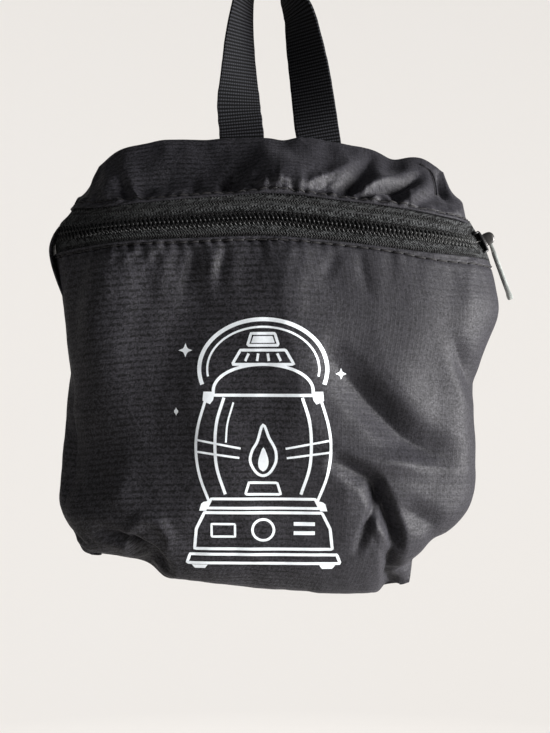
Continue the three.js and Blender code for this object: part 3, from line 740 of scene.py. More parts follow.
def rolled_edge(grid, n, first):
    """Rows that turn the cloth's edge in: (grid of extra rows, in order outward from the edge)."""
    edge, inner = (grid[0], grid[1]) if first else (grid[-1], grid[-2])
    nn = n[0] if first else n[-1]
    away = unit(edge - inner)
    rows = [edge + away * a - nn * d for a, d in ((0.22, 0.12), (0.34, 0.42), (0.3, 0.8), (-0.1, 1.15), (-2.5, 1.25))]
    return np.stack(rows[::-1] if first else rows)


def flat_map(s, t):
    """Place of each point on the cloth before it was crumpled, in mm: what the weave follows."""
    S, T = np.meshgrid(s, t)
    p = bare(S, T)
    u = lengths(p, 1)
    mid = np.argmin(np.abs(s - (s[0] + s[-1]) / 2))
    bend = 0.5 * fractal(p[..., 0] / 40.0, p[..., 2] / 40.0, 801, 2)
    return np.stack([u - u[:, mid : mid + 1] + bend, bend - lengths(p, 0)], -1)


def build_panel(name, kind, s, t, node, first=False, last=False):
    g, n = panel_points(s, t, kind)
    uv = flat_map(s, t)
    roll = np.array([0.3, 0.6, 1.0, 1.5, 4.0])
    if first:
        g = np.concatenate([rolled_edge(g, n, True), g])
        uv = np.concatenate([uv[:1] + np.stack([0 * roll, roll], -1)[::-1, None], uv])
    if last:
        g = np.concatenate([g, rolled_edge(g, n, False)])
        uv = np.concatenate([uv, uv[-1:] - np.stack([0 * roll, roll], -1)[:, None]])
    uv = uv.reshape(-1, 2)
    ob = new_object(name, g.reshape(-1, 3), grid_faces(g.shape[1] - 1, g.shape[0] - 1), CLOTH_M, uvs=uv)
    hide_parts(node)
    return ob, g


def eased(a, b, n, dense_a=0.0, dense_b=0.0):
    f = np.linspace(0, 1, n)
    f = f + dense_a * f * (f - 1) * (1 - f) + dense_b * f * (1 - f) * f
    return a + (b - a) * f


FRONT_S = np.linspace(-SEAM_S, SEAM_S, 400)
FRONT_T = eased(ROW["lower_edge"], LAST, 230, 0.5)
front, front_grid = build_panel("front_cloth", "front", FRONT_S, FRONT_T, "front_panel", first=True)
top, top_grid = build_panel("top_cloth", "top", FRONT_S, np.linspace(0.0, ROW["upper_edge"], 90), "top_panel", last=True)


def back_points(s, t):
    p, n = bare(s, t), normal(s, t)
    x, z = p[..., 0], p[..., 2]
    out = 1.5 * fractal(x / 40.0, z / 36.0, 211, 3) + 1.3 * (1 - 2 * np.abs(fractal((x - 0.5 * z) / 30.0, (z + 0.2 * x) / 40.0, 231, 3)))
    out = out + 0.22 * fractal((x + 0.3 * z) / 7.0, (z - 0.3 * x) / 9.0, 253, 3)
    e = (2 - SEAM_S - np.abs(s - 2)) * 55
    out = out * smooth(0, 6, e) + puckers(z + 800 + 300 * (s > 2), np.maximum(e, 0), 271, 1.2, 10.0) - 0.5 * np.exp(-np.maximum(e, 0) / 1.5)
    for edge, seed in ((0, 291), (LAST, 301)):
        d = np.linalg.norm(p - bare(s, np.full_like(t, float(edge))), axis=-1)
        out = out + puckers(x + 90, d, seed, 1.1, 10.0)
    return p + n * out[..., None], n


S, T = np.meshgrid(np.linspace(SEAM_S, 4 - SEAM_S, 190), np.linspace(0, LAST, 230))


def drawn_to(P, s, t):
    """Back cloth pulled to the edges of the other panels, and a hidden allowance behind them all round."""
    f, c = front_grid[5:], top_grid[:-5]
    at = np.concatenate([np.linspace(0.0, ROW["upper_edge"], len(c)), FRONT_T])
    over = 2 - s
    over = over + (2 * SEAM_S - 2) * np.sign(over) * (np.abs(over) / (2 - SEAM_S)) ** 4
    out = P.copy()
    ring = []
    for k, edge, under in ((0, -1, -6), (-1, 0, 5)):
        want, inner = (np.stack([np.interp(t, at, np.concatenate([c[:, j, i], f[:, j, i]])) for i in range(3)], -1) for j in (edge, under))
        w = 1 - smooth(0, 9, np.linalg.norm(P - P[:, [k]], axis=-1))
        out = out + (want - P[:, k])[:, None] * w[..., None]
        ring.append(inner)
    for k, grid, edge, under, reach in ((0, c, 0, 6, 4.0), (-1, f, -1, -7, 5.0)):
        want, inner = (np.stack([np.interp(over, FRONT_S, grid[j, :, i]) for i in range(3)], -1) for j in (edge, under))
        w = 1 - smooth(0, reach, np.linalg.norm(P - P[[k]], axis=-1))
        out = out + (want - out[k])[None] * w[..., None]
        ring.append(inner)
    out = np.pad(out, ((1, 1), (1, 1), (0, 0)), mode="edge")
    for place, inner in (((slice(1, -1), 0), ring[0]), ((slice(1, -1), -1), ring[1]), ((0, slice(1, -1)), ring[2]), ((-1, slice(1, -1)), ring[3])):
        core = np.stack([inner[:, 0] * 0 + 3.0, inner[:, 0] * 0 - 3.0, np.clip(inner[:, 2], -235, -95)], -1)
        out[place] = inner + unit(core - inner) * 0.7
    return out


bg, _ = back_points(S, T)
bg = drawn_to(bg, S[0], T[:, 0])
buv = np.pad(flat_map(S[0], T[:, 0]), ((1, 1), (1, 1), (0, 0)), mode="edge")
back = new_object("back_cloth", bg.reshape(-1, 3), grid_faces(bg.shape[1] - 1, bg.shape[0] - 1), CLOTH_M, uvs=buv.reshape(-1, 2))
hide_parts("back_panel")

# ------------------------------------------------------------------ zipper
ZS = SEAM_S - 0.012


def tape_edge(s):
    return 0.016 + 0.13 * np.clip((s - 1.0) / 0.04, 0, 1)


def build_tape(name, side, node):
    s = np.linspace(-ZS, ZS, 420)
    w = np.linspace(0, 1, 14)
    S, W = np.meshgrid(s, w)
    T = ROW["coil"] + side * (tape_edge(S) + (1.3 - tape_edge(S)) * W)
    p, n = bare(S, T), normal(S, T)
    deep = TAPE_TOP * (1 - 0.75 * smooth(0.82, 0.98, -S) - 1.15 * smooth(0.78, 0.98, S)) + 2.6 * smooth(0.84, 1.0, W) - 2.2 * np.exp(-(((S - 1.0) / 0.05) ** 2)) * (1 - 0.7 * W)
    p = p - n * (deep - 0.12 * fractal(p[..., 0] / 9.0, p[..., 2] / 9.0, 17, 2))[..., None]
    q = p - n * 0.55
    g = np.concatenate([q[:1], p])
    u, v = lengths(g, 1), lengths(g, 0)
    ob = new_object(name, g.reshape(-1, 3), grid_faces(g.shape[1] - 1, g.shape[0] - 1, flip=side < 0), TAPE_M, uvs=np.stack([u, v], -1).reshape(-1, 2))
    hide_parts(node)
    return ob


build_tape("tape_upper", -1, "zipper_tape_upper")
build_tape("tape_lower", 1, "zipper_tape_lower")


def zip_frame(s, t=None):
    """Origin on the zipper's middle line, its normal, direction along and direction across (down)."""
    s = np.asarray(s, float)
    t = np.full_like(s, float(ROW["coil"]) if t is None else t)
    o, n = bare(s, t), normal(s, t)
    e = 0.01
    a = unit(bare(s + e, t) - bare(s - e, t))
    b = unit(np.cross(a, n))
    b = np.where(b[..., 2:3] > 0, -b, b)
    return o, n, a, b


def evenly(s0, s1, pitch, t=None):
    s = np.linspace(s0, s1, 2000)
    o = zip_frame(s, t)[0]
    d = np.concatenate([[0], np.cumsum(np.linalg.norm(np.diff(o, axis=0), axis=1))])
    return np.interp(np.arange(pitch / 2, d[-1], pitch), d, s)


PITCH = 1.95


def coil_row(side):
    """One row of the coil: slanting turns whose heads reach past the middle, between those of the other row."""
    s = evenly(-ZS + 0.02, 1.012, PITCH)
    if side > 0:
        s = s + (s[1] - s[0]) / 2
    o, n, a, b = zip_frame(s)
    shape = [  # across, height, along, radius
        (3.2, -1.3, -1.15, 0.24), (3.15, -0.7, -1.1, 0.32), (2.7, -0.08, -0.9, 0.36), (1.75, -0.3, -0.45, 0.27),
        (0.5, -0.28, 0.1, 0.28), (-0.3, 0.0, 0.42, 0.42), (-0.5, -0.5, 0.5, 0.42), (0.2, -0.95, 0.3, 0.34), (2.3, -1.15, -0.5, 0.28),
    ]
    parts = []
    sunk = 1.3 * smooth(0.88, 1.02, -s) + 0.7 * smooth(0.42, 0.85, s)
    for k in range(len(s)):
        path = [o[k] + side * c * b[k] + (h - sunk[k]) * n[k] - side * al * a[k] for c, h, al, _ in shape]
        parts.append(tube(path, [r for *_, r in shape], 7, up=a[k]))
    return merge(parts)


for name, side, node in (("coil_upper", -1, "zipper_coil_upper"), ("coil_lower", 1, "zipper_coil_lower")):
    v, f = coil_row(side)
    ob = new_object(name, v, f, COIL_M)
    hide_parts(node)


def stitch_row(name, s0, s1, across, height, pitch, length, radius, material, t=None, dip=0.25, slant=0.0, sides=5, shift=0.0):
    """Thread stitches along the zipper at a distance across it, each leaning by slant."""
    s = evenly(s0, s1, pitch, t) + shift * pitch / 210
    o, n, a, b = zip_frame(s, t)
    parts = []
    uneven = noise2(np.arange(len(s)) * 1.37, np.arange(len(s)) * 0.61 + across, 611)
    for k in range(len(s)):
        c = o[k] + (across + 0.22 * uneven[k]) * b[k] + height * n[k]
        lay = unit(a[k] + slant * b[k])
        path = [c + x * length * (1 - 0.3 * abs(uneven[k])) / 2 * lay - dip * (x * x) ** 2 * n[k] for x in (-1, -0.75, -0.3, 0.3, 0.75, 1)]
        parts.append(tube(path, radius, sides, up=n[k]))
    v, f = merge(parts)
    return new_object(name, v, f, material)


# threads that sew each coil down, and the herringbone of the tape's edges along the cloth
for k, (c, m, h, sl) in enumerate(((-3.15, LIGHT_THREAD_M, -0.55, 0.9), (-2.1, THREAD_M, 0.42, 0.9), (2.1, THREAD_M, 0.42, 0.9), (3.15, LIGHT_THREAD_M, -0.55, 0.9))):
    stitch_row("coil_thread_%d" % k, -ZS + 0.02, 1.0, c, h, PITCH, 1.0, 0.17, m, dip=0.3, slant=sl)
for k, (row, c, m, sl) in enumerate((
    ("upper_edge", 2.6, THREAD_M, -1.5), ("upper_edge", 3.4, LIGHT_THREAD_M, 1.5),
    ("lower_edge", -1.2, THREAD_M, 1.5), ("lower_edge", -2.2, THREAD_M, -1.5), ("lower_edge", -3.1, LIGHT_THREAD_M, 1.5),
)):
    stitch_row("tape_edge_%d" % k, -ZS + 0.05, ZS - 0.05, c, -TAPE_TOP + 0.1, 1.15, 1.35, 0.17, m, t=float(ROW[row]), dip=0.15, slant=sl, shift=0.5 * (k % 2))


def hem_line(grid, first, at):
    """Points of the finished cloth at the distance at(x) from the panel's visible edge, one for each column."""
    g = grid[5:45] if first else grid[::-1][5:45]
    d = lengths(g, 0)
    want = at(g[0, :, 0])
    line_ = np.stack([[np.interp(want[j], d[:, j], g[:, j, c]) for c in range(3)] for j in range(g.shape[1])])
    nn = unit(np.cross(np.gradient(line_, axis=0), g[8] - g[0]))
    nn = nn * np.sign(np.einsum("ij,ij->i", nn, line_ - np.array([3.0, -5.0, -170.0])))[:, None]
    return line_, nn


def seam_stitches(name, grid, first, at, length=4.4, radius=0.40):
    """Stitches between the needle dimples of a panel's hem."""
    line_, nn = hem_line(grid, first, at)
    d = np.concatenate([[0], np.cumsum(np.linalg.norm(np.diff(line_, axis=0), axis=1))])
    mid = d[-1] / 2
    count = int(mid / HEM_PITCH) - 1
    parts = []
    for a in mid + (np.arange(-count, count) + 0.5) * HEM_PITCH:
        path = []
        for x in (-1, -0.85, -0.5, 0.5, 0.85, 1):
            w = a + x * length / 2
            q = np.array([np.interp(w, d, line_[:, c]) for c in range(3)])
            m = np.array([np.interp(w, d, nn[:, c]) for c in range(3)])
            path.append(q + m * (radius * 1.0 - 0.5 * max(abs(x) - 0.5, 0) / 0.5))
        parts.append(tube(path, radius, 6, up=(0, -1, 0)))
    v, f = merge(parts)
    return new_object(name, v, f, THREAD_M)


seam_stitches("front_hem_stitches", front_grid, True, HEM_FRONT)
seam_stitches("top_hem_stitches", top_grid, False, HEM_TOP)

# ------------------------------------------------------------------ hang loop
LOOP = np.array([
    (-11.6, 6.0, -77.0, 0), (-11.7, 6.0, -67.0, 0), (-12.2, 5.9, -61.0, 4), (-13.0, 5.4, -52.4, 15), (-12.9, 4.4, -40.0, 36),
    (-12.7, 3.3, -30.1, 47), (-12.2, 2.2, -20.1, 56), (-11.4, 1.2, -12.5, 63), (-10.1, 0.5, -5.1, 69), (-7.4, 0.1, -0.9, 78),
    (-3.8, 0.0, 0.5, 85), (0.0, 0.0, 0.7, 90), (3.9, 0.0, 0.5, 96), (7.9, 0.1, -1.1, 104), (10.6, 0.5, -5.1, 116),
    (13.2, 0.9, -10.1, 127), (14.8, 1.4, -14.4, 131), (16.7, 2.7, -24.7, 143), (19.2, 4.3, -38.7, 154), (21.5, 5.5, -54.8, 166),
    (22.4, 5.9, -61.5, 175), (23.5, 6.0, -68.0, 180), (24.8, 6.0, -78.0, 180),
], float)


def build_loop():
    t = np.linspace(0, len(LOOP) - 1, 5000)
    c = along(LOOP, t)
    d = np.concatenate([[0], np.cumsum(np.linalg.norm(np.diff(c[:, :3], axis=0), axis=1))])
    m = int(d[-1] / 0.25)
    at = np.linspace(0, d[-1], m)
    c = np.stack([np.interp(at, d, c[:, k]) for k in range(4)], -1)
    T = unit(np.gradient(c[:, :3], axis=0))
    w = np.stack([np.cos(np.radians(c[:, 3])), np.sin(np.radians(c[:, 3])), np.zeros(m)], -1)
    w = unit(w - np.sum(w * T, -1, keepdims=True) * T)
    n = np.cross(w, T)
    # profile round the webbing: rounded selvedges, ribbed faces
    half, th = WEB_W / 2, WEB_T / 2
    flat = np.linspace(-half + 0.5, half - 0.5, 54)
    prof = [(x, th) for x in flat]
    prof += [(half - 0.5 + 0.5 * math.sin(a), th * math.cos(a)) for a in (0.5, 1.1, 1.57, 2.1, 2.65)]
    prof += [(x, -th) for x in flat[::-1]]
    prof += [(-half + 0.5 - 0.5 * math.sin(a), -th * math.cos(a)) for a in (0.5, 1.1, 1.57, 2.1, 2.65)]
    prof = np.array(prof)
    rib = 0.26 * (np.abs(np.sin(np.pi * at[:, None] / RIB)) ** 0.7 - 0.6)
    edge = 1 - smooth(half - 1.2, half, np.abs(prof[:, 0]))
    bow = 0.5 * (1 - (prof[:, 0] / half) ** 2)
    height = prof[None, :, 1] + np.sign(prof[None, :, 1]) * rib * edge[None] + 0.4 * (bow[None] - 0.3) * np.sin(np.pi * at / d[-1])[:, None]
    wave = 0.12 * noise2(at / 3.0, at * 0, 401)
    g = c[:, None, :3] + w[:, None] * (prof[None, :, 0:1] * (1 + wave[:, None, None] / half)) + n[:, None] * height[..., None]
    k = len(prof)
    verts = g.reshape(-1, 3)
    j, i = np.mgrid[0 : m - 1, 0:k]
    a = (j * k + i).ravel()
    b = (j * k + (i + 1) % k).ravel()
    faces = [tuple(q) for q in np.stack([a, b, b + k, a + k], -1)]
    faces += [tuple(range(k)), tuple((m - 1) * k + q for q in range(k - 1, -1, -1))]
    uv = np.stack([np.broadcast_to(prof[None, :, 0], (m, k)), np.broadcast_to(at[:, None], (m, k))], -1).reshape(-1, 2)
    ob = new_object("webbing_loop", verts, faces, WEB_M, uvs=uv)
    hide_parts("hang_loop")
    return ob


build_loop()

# ------------------------------------------------------------------ side binding and side seam
def strip(name, path, y0, y1, thick, material):
    """Flat band along a path of x, z, from y0 to y1 deep."""
    c = np.asarray(path, float)
    t = np.linspace(0, len(c) - 1, 60)
    c = along(c, t)
    tan = unit(np.gradient(c, axis=0))
    out = np.stack([-tan[:, 1], tan[:, 0]], -1)
    prof = [(y, h) for y, h in ((y0, 0), (y0 + 0.3, thick / 2), ((y0 + y1) / 2, thick / 2 + 0.2), (y1 - 0.3, thick / 2), (y1, 0), (y1 - 0.3, -thick / 2), ((y0 + y1) / 2, -thick / 2 + 0.2), (y0 + 0.3, -thick / 2))]
    rings = [np.array([[c[k, 0] + out[k, 0] * h, y, c[k, 1] + out[k, 1] * h] for y, h in prof]) for k in range(len(c))]
    v, f = loft(rings)
    uv = np.stack([np.tile(np.array([y for y, _ in prof]), len(c)), np.repeat(np.linspace(0, 30, len(c)), len(prof))], -1)
    return new_object(name, v, f, material, uvs=uv)


# ------------------------------------------------------------------ slider and pull
def loft(rings, cap=True):
    """Closed skin over rings of equally many points."""
    k = len(rings[0])
    verts = np.concatenate([np.asarray(r, float) for r in rings])
    faces = []
    for i in range(len(rings) - 1):
        for j in range(k):
            a, b = i * k + j, i * k + (j + 1) % k
            faces.append((a, b, b + k, a + k))
    if cap:
        faces.append(tuple(range(k - 1, -1, -1)))
        faces.append(tuple((len(rings) - 1) * k + j for j in range(k)))
    return verts, faces


def oval(rx, ry, n=40, p=2.0):
    w = 2 * np.pi * (np.arange(n) + 0.5) / n
    c, q = np.cos(w), np.sin(w)
    return np.stack([rx * np.sign(c) * np.abs(c) ** (2 / p), ry * np.sign(q) * np.abs(q) ** (2 / p)], -1)


SL_T = np.array([0.0, 1.0, 0.0])
sn = normal(1.0, float(ROW["coil"]))
SL_N = unit(np.array([sn[0], 0.0, sn[2]]))
SL_B = np.array([SL_N[2], 0.0, -SL_N[0]])
BAIL, BAR_R = 5.7, 0.6
PIVOT = np.array([99.59, -3.5, -114.24])
SL_O = PIVOT - BAIL * SL_N


def slot_at(a, b, c):
    return SL_O + np.asarray(a)[..., None] * SL_T + np.asarray(b)[..., None] * SL_B + np.asarray(c)[..., None] * SL_N


def pad(rx, ry, c0, c1, bevel, p=3.2, n=48, cy=0.0):
    """Plate of the slider with rounded edges."""
    rings = []
    for k, (inset, c) in enumerate([(bevel, c0), (bevel * 0.3, c0 + bevel * 0.3), (0, c0 + bevel), (0, c1 - bevel), (bevel * 0.3, c1 - bevel * 0.3), (bevel, c1)]):
        o = oval(rx - inset, ry - inset, n, p)
        rings.append(slot_at(o[:, 0], o[:, 1] + cy, np.full(n, c)))
    return loft(rings)


def make_slider():
    parts = [pad(5.0, 5.2, 1.75, 2.85, 0.35), pad(3.5, 4.9, -4.7, -3.8, 0.3), pad(0.5, 0.5, -4.2, 2.2, 0.1, n=16)]
    parts[2] = (parts[2][0] + 2.9 * SL_T, parts[2][1])
    for e in (-1, 1):
        rail = [(-4.4, -0.5), (3.6, -0.5), (3.6, 2.2), (-4.4, 2.2)]
        rings = []
        for b_ in (e * 4.2, e * 4.35, e * 4.95, e * 5.1):
            g = 0.12 if b_ in (e * 4.2, e * 5.1) else 0.0
            rings.append(slot_at([a_ + (g if a_ < 0 else -g) for a_, _ in rail], [b_] * 4, [c_ + (g if c_ < 0 else -g) for _, c_ in rail]))
        parts.append(loft(rings))
    body, parts = parts, []
    # a round-shouldered crown at each end, and the bar that the pull rides on between them
    for e in (-1, 1):
        rings = []
        for f in np.linspace(-1, 1, 15):
            r = math.sqrt(max(1 - abs(f) ** 2.6, 0.002))
            o = oval(2.75 * r, 2.85 * r, 40, 2.3)
            neck = np.clip((4.9 - (5.0 + o[:, 1])) / 3.0, 0, 1)
            rings.append(slot_at(np.full(40, e * (3.6 + 0.2 * neck.mean()) + 0.95 * f), o[:, 0] * (1 + 0.25 * neck), 4.75 + o[:, 1]))
        parts.append(loft(rings))
        foot = []
        for c, w_, d_ in ((2.6, 2.9, 1.0), (3.0, 2.7, 0.85), (3.8, 2.55, 0.7), (4.6, 2.3, 0.6)):
            o = oval(d_, w_, 32, 3)
            foot.append(slot_at(e * 3.65 + o[:, 0], o[:, 1], np.full(32, c)))
        parts.append(loft(foot))
    bar = [slot_at(a_, 0.0, BAIL) for a_ in np.linspace(-3.4, 3.4, 9)]
    parts.append(tube(bar, BAR_R, 16, up=SL_N))
    v, f = merge(parts)
    new_object("slider_crown", v, f, CROWN_M)
    v, f = merge(body)
    ob = new_object("slider_metal", v, f, SLIDER_M)
    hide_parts("slider")
    return ob


def make_pull():
    lean = math.radians(20.0)
    down, side, Y = np.array([math.sin(lean), 0, -math.cos(lean)]), np.array([math.cos(lean), 0, math.sin(lean)]), np.array([0.0, 1.0, 0.0])
    at = lambda d, w, y: PIVOT + np.asarray(d)[..., None] * down + np.asarray(w)[..., None] * side + np.asarray(y)[..., None] * Y
    sag = 0.4
    # eye
    rm, rr = 1.95, 0.55
    verts, faces, nu, nv = [], [], 40, 14
    for i in range(nu):
        w = 2 * math.pi * i / nu
        for j in range(nv):
            q = 2 * math.pi * j / nv
            r = rm + rr * math.cos(q)
            verts.append(at(sag + r * math.cos(w), r * math.sin(w), 1.3 * np.sign(math.sin(q)) * abs(math.sin(q)) ** 0.6))
    for i in range(nu):
        for j in range(nv):
            faces.append((i * nv + j, i * nv + (j + 1) % nv, (i + 1) % nu * nv + (j + 1) % nv, (i + 1) % nu * nv + j))
    parts = [(np.array(verts), faces)]
    # tab: a flat blade with a raised rim and a thicker end
    prof = np.array([(-1, 0.35), (-0.97, 0.8), (-0.9, 1.0), (-0.72, 1.0), (-0.6, 0.62), (-0.2, 0.58), (0.2, 0.58), (0.6, 0.62), (0.72, 1.0), (0.9, 1.0), (0.97, 0.8), (1, 0.35)])
    ring = np.concatenate([prof, np.stack([prof[::-1, 0], -prof[::-1, 1]], -1)])
    table = [(1.9, 0.5, 1.15), (2.6, 0.55, 1.25), (4.6, 0.55, 1.5), (5.6, 0.55, 1.8), (6.5, 0.66, 2.1), (8.0, 0.72, 2.2), (14.0, 0.72, 2.25), (20.0, 0.72, 2.3), (25.2, 0.70, 2.3), (26.0, 0.74, 2.35), (26.6, 0.85, 2.4), (27.5, 0.92, 2.4), (28.2, 0.9, 2.35), (28.7, 0.75, 2.2), (28.9, 0.5, 1.95)]
    rings = []
    for d, h, w in table:
        solid = smooth(23.5, 25.5, np.float64(d)) + (1 - smooth(5.5, 8.0, np.float64(d)))
        hh = np.sign(ring[:, 1]) * np.maximum(np.abs(ring[:, 1]), np.clip(solid, 0, 1) * np.minimum(np.abs(ring[:, 1]) + 0.42, 1.0)) * h
        rings.append(at(np.full(len(ring), sag + d), hh, ring[:, 0] * w))
    parts.append(loft(rings))
    v, f = merge(parts)
    ob = new_object("pull_metal", v, f, PULL_M, body="pull")
    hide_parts("pull_tab")
    return ob


make_slider()
make_pull()
strip("side_binding_left", [(-92.0, -110.0), (-94.6, -114.0), (-96.2, -119.0), (-95.8, -124.5), (-94.0, -131.0), (-91.0, -139.0), (-88.0, -146.0)], -11.0, 5.0, 1.0, CLOTH_M)

def make_bundle():
    """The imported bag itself, a folded roll that the pouch hides."""
    S, T = np.meshgrid(np.linspace(0, 4, 120, endpoint=False), np.linspace(1.9, LAST - 1.7, 60))
    p, n = bare(S, T), normal(S, T)
    g = p - n * (11.0 + 1.2 * fractal(p[..., 0] / 12.0, p[..., 2] / 9.0, 501, 3))[..., None]
    k, m = 120, 60
    faces = [(r * k + c, r * k + (c + 1) % k, (r + 1) * k + (c + 1) % k, (r + 1) * k + c) for r in range(m - 1) for c in range(k)]
    faces += [tuple(range(k)), tuple((m - 1) * k + c for c in range(k - 1, -1, -1))]
    ob = new_object("packed_roll", g.reshape(-1, 3), faces, plain("packed_cloth", (0.012, 0.012, 0.014), 0.7, grain=300))
    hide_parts("packed_bundle")
    return ob


bundle = make_bundle()

# ------------------------------------------------------------------ print: a camping lantern, in white lines
def surface_tree():
    return BVHTree.FromPolygons([Vector(v) for v in front_grid.reshape(-1, 3)], [tuple(int(i) for i in f) for f in grid_faces(front_grid.shape[1] - 1, front_grid.shape[0] - 1)])


TREE = surface_tree()


def on_cloth(x, z, proud=0.14):
    hit, nn, _, _ = TREE.ray_cast(Vector((x, -90.0, z)), Vector((0, 1, 0)))
    if hit is None:
        return np.array([x, -36.0, z])
    nn = nn if nn.y < 0 else -nn
    return np.array(hit + nn * proud)


def ribbon(pts, width, closed=False, step=0.8):
    """Flat line of ink along 2D points, laid on the cloth."""
    p = np.asarray(pts, float)
    if closed:
        p = np.concatenate([p, p[:1]])
    d = np.concatenate([[0], np.cumsum(np.linalg.norm(np.diff(p, axis=0), axis=1))])
    n = max(int(d[-1] / step), 2)
    at = np.linspace(0, d[-1], n + 1)
    q = np.stack([np.interp(at, d, p[:, k]) for k in range(2)], -1)
    if closed:
        q = q[:-1]
        tg = unit(np.roll(q, -1, 0) - np.roll(q, 1, 0))
    else:
        tg = unit(np.gradient(q, axis=0))
    side = np.stack([-tg[:, 1], tg[:, 0]], -1)
    offs = (-0.5, 0.0, 0.5)
    verts = [on_cloth(*(q[k] + side[k] * width * o)) for k in range(len(q)) for o in offs]
    faces = []
    m = len(q)
    for k in range(m if closed else m - 1):
        for j in range(2):
            a, b = k * 3 + j, ((k + 1) % m) * 3 + j
            faces.append((a, b, b + 1, a + 1))
    return verts, faces


def filled(poly, step=0.7):
    """Filled patch of ink inside a 2D polygon, in strips."""
    p = np.asarray(poly, float)
    z0, z1 = p[:, 1].min(), p[:, 1].max()
    n = max(int((z1 - z0) / step), 2)
    zs = np.linspace(z0 + 0.02, z1 - 0.02, n + 1)
    parts, last = [], None
    for z in zs:
        xs = []
        for (ax, az), (bx, bz) in zip(p, np.roll(p, -1, 0)):
            if (az <= z) != (bz <= z):
                xs.append(ax + (z - az) / (bz - az) * (bx - ax))
        xs.sort()
        row = (xs[0], xs[-1]) if len(xs) >= 2 else None
        if row and last:
            k = max(int(max(row[1] - row[0], last[1] - last[0]) / step), 1)
            v = [on_cloth(last[0] + (last[1] - last[0]) * i / k, last[2]) for i in range(k + 1)]
            v += [on_cloth(row[0] + (row[1] - row[0]) * i / k, z) for i in range(k + 1)]
            parts.append((v, [(i, i + 1, k + 2 + i, k + 1 + i) for i in range(k)]))
        last = (*row, z) if row else None
    return parts


def curved(pts, closed=False):
    """Smooth line through a few points."""
    p = np.asarray(pts, float)
    if closed:
        q = along(np.concatenate([p[-2:], p, p[:3]]), 2 + np.linspace(0, len(p), 12 * len(p), endpoint=False))
        return [tuple(v) for v in q]
    return [tuple(v) for v in along(p, np.linspace(0, len(p) - 1, 12 * len(p)))]


def arc(cx, cz, rx, rz, a0, a1, n=24):
    a = np.radians(np.linspace(a0, a1, n))
    return [(cx + rx * math.cos(w), cz + rz * math.sin(w)) for w in a]


def lantern(cx=-1.5, top=-151.0):
    ink = []
    L = lambda pts, w=1.25, closed=False: ink.append(ribbon([(cx + x, top + z) for x, z in pts], w, closed))
    F = lambda pts: ink.extend(filled([(cx + x, top + z) for x, z in pts]))
    # carrying handle
    L(arc(0, -22, 27, 21, -18, 198, 60), 1.7)
    L(arc(0, -22, 23.6, 17.8, -10, 190, 50), 0.9)
    # cap and chimney
    L([(-5, -7), (-6.5, -12), (6.5, -12), (5, -7)], 1.2, True)
    F([(-4.0, -8.1), (-5.0, -11.0), (5.0, -11.0), (4.0, -8.1)])
    L([(-9.5, -14), (9.5, -14), (13, -20), (-13, -20)], 1.2, True)
    for x in (-6, -2, 2, 6):
        L([(x, -15.4), (x * 1.25, -18.6)], 1.1)
    L(arc(0, -31, 21, 11, 180, 0, 40) + [(21, -33), (-21, -33)], 1.3, True)
    # glass
    L(curved([(-16.5, -34), (-19.5, -44), (-20.3, -54), (-19.5, -64), (-16, -75)]), 1.3)
    L(curved([(16.5, -34), (19.5, -44), (20.3, -54), (19.5, -64), (16, -75)]), 1.3)
    L(curved([(-12.5, -36), (-15, -45), (-15.7, -53)]), 0.8)
    # flame and burner
    L(curved([(0, -45.5), (2.6, -51), (5.2, -56), (5.4, -61), (3, -65.5), (0, -67), (-3, -65.5), (-5.4, -61), (-4.6, -56.5), (-2.4, -52.5)], True), 1.2, True)
    F(curved([(0.2, -55.0), (2.0, -59), (2.3, -62), (1.3, -64.4), (0, -65.2), (-1.5, -64.2), (-2.1, -61.6), (-1.4, -58.4)], True))
    L([(-6, -70), (6, -70), (7.5, -75), (-7.5, -75)], 1.1, True)
    # guard wires and their cross
    L(curved([(-24, -34), (-27.5, -46), (-28.5, -56), (-27, -67), (-23, -78)]), 1.2)
    L(curved([(24, -34), (27.5, -46), (28.5, -56), (27, -67), (23, -78)]), 1.2)
    L([(-28.2, -52), (-9.5, -55.5)], 0.9)
    L([(28.2, -52), (9.5, -55.5)], 0.9)
    L([(-28.2, -57), (-10, -59.5)], 0.9)
    L([(28.2, -57), (10, -59.5)], 0.9)
    # base tank
    L([(-22, -77), (22, -77), (24, -81), (-24, -81)], 1.2, True)
    L([(-25, -83), (25, -83), (28.5, -90), (29.5, -99), (-29.5, -99), (-28.5, -90)], 1.3, True)
    L([(-22, -88), (-12, -88), (-12, -93.5), (-22, -93.5)], 1.0, True)
    F([(13, -87), (22, -87), (22, -88.7), (13, -88.7)])
    F([(13, -91), (22, -91), (22, -92.7), (13, -92.7)])
    L(arc(0, -90.5, 4.6, 4.6, 0, 345, 26), 1.1, True)
    L([(-31.5, -101.5), (31.5, -101.5), (33, -105.5), (-33, -105.5)], 1.3, True)
    # solid ears where the guard wires meet the frame, and feet
    for e in (-1, 1):
        F([(e * 20.5, -31.5), (e * 25.2, -31.5), (e * 25.6, -35.5), (e * 22.4, -36.8), (e * 21.0, -35.0)])
        F([(e * 22.4, -77.6), (e * 26.2, -78.6), (e * 27.2, -82.2), (e * 24.2, -82.2)])
        F([(e * 24.0, -106.3), (e * 31.0, -106.3), (e * 29.6, -108.0), (e * 25.2, -108.0)])
    # stars
    for x, z, r in ((-33, -14, 3.0), (33, -24, 2.4), (-37, -40, 1.8)):
        F([(x, z + r), (x + r * 0.28, z + r * 0.28), (x + r, z), (x + r * 0.28, z - r * 0.28), (x, z - r), (x - r * 0.28, z - r * 0.28), (x - r, z), (x - r * 0.28, z + r * 0.28)])
    return merge(ink)


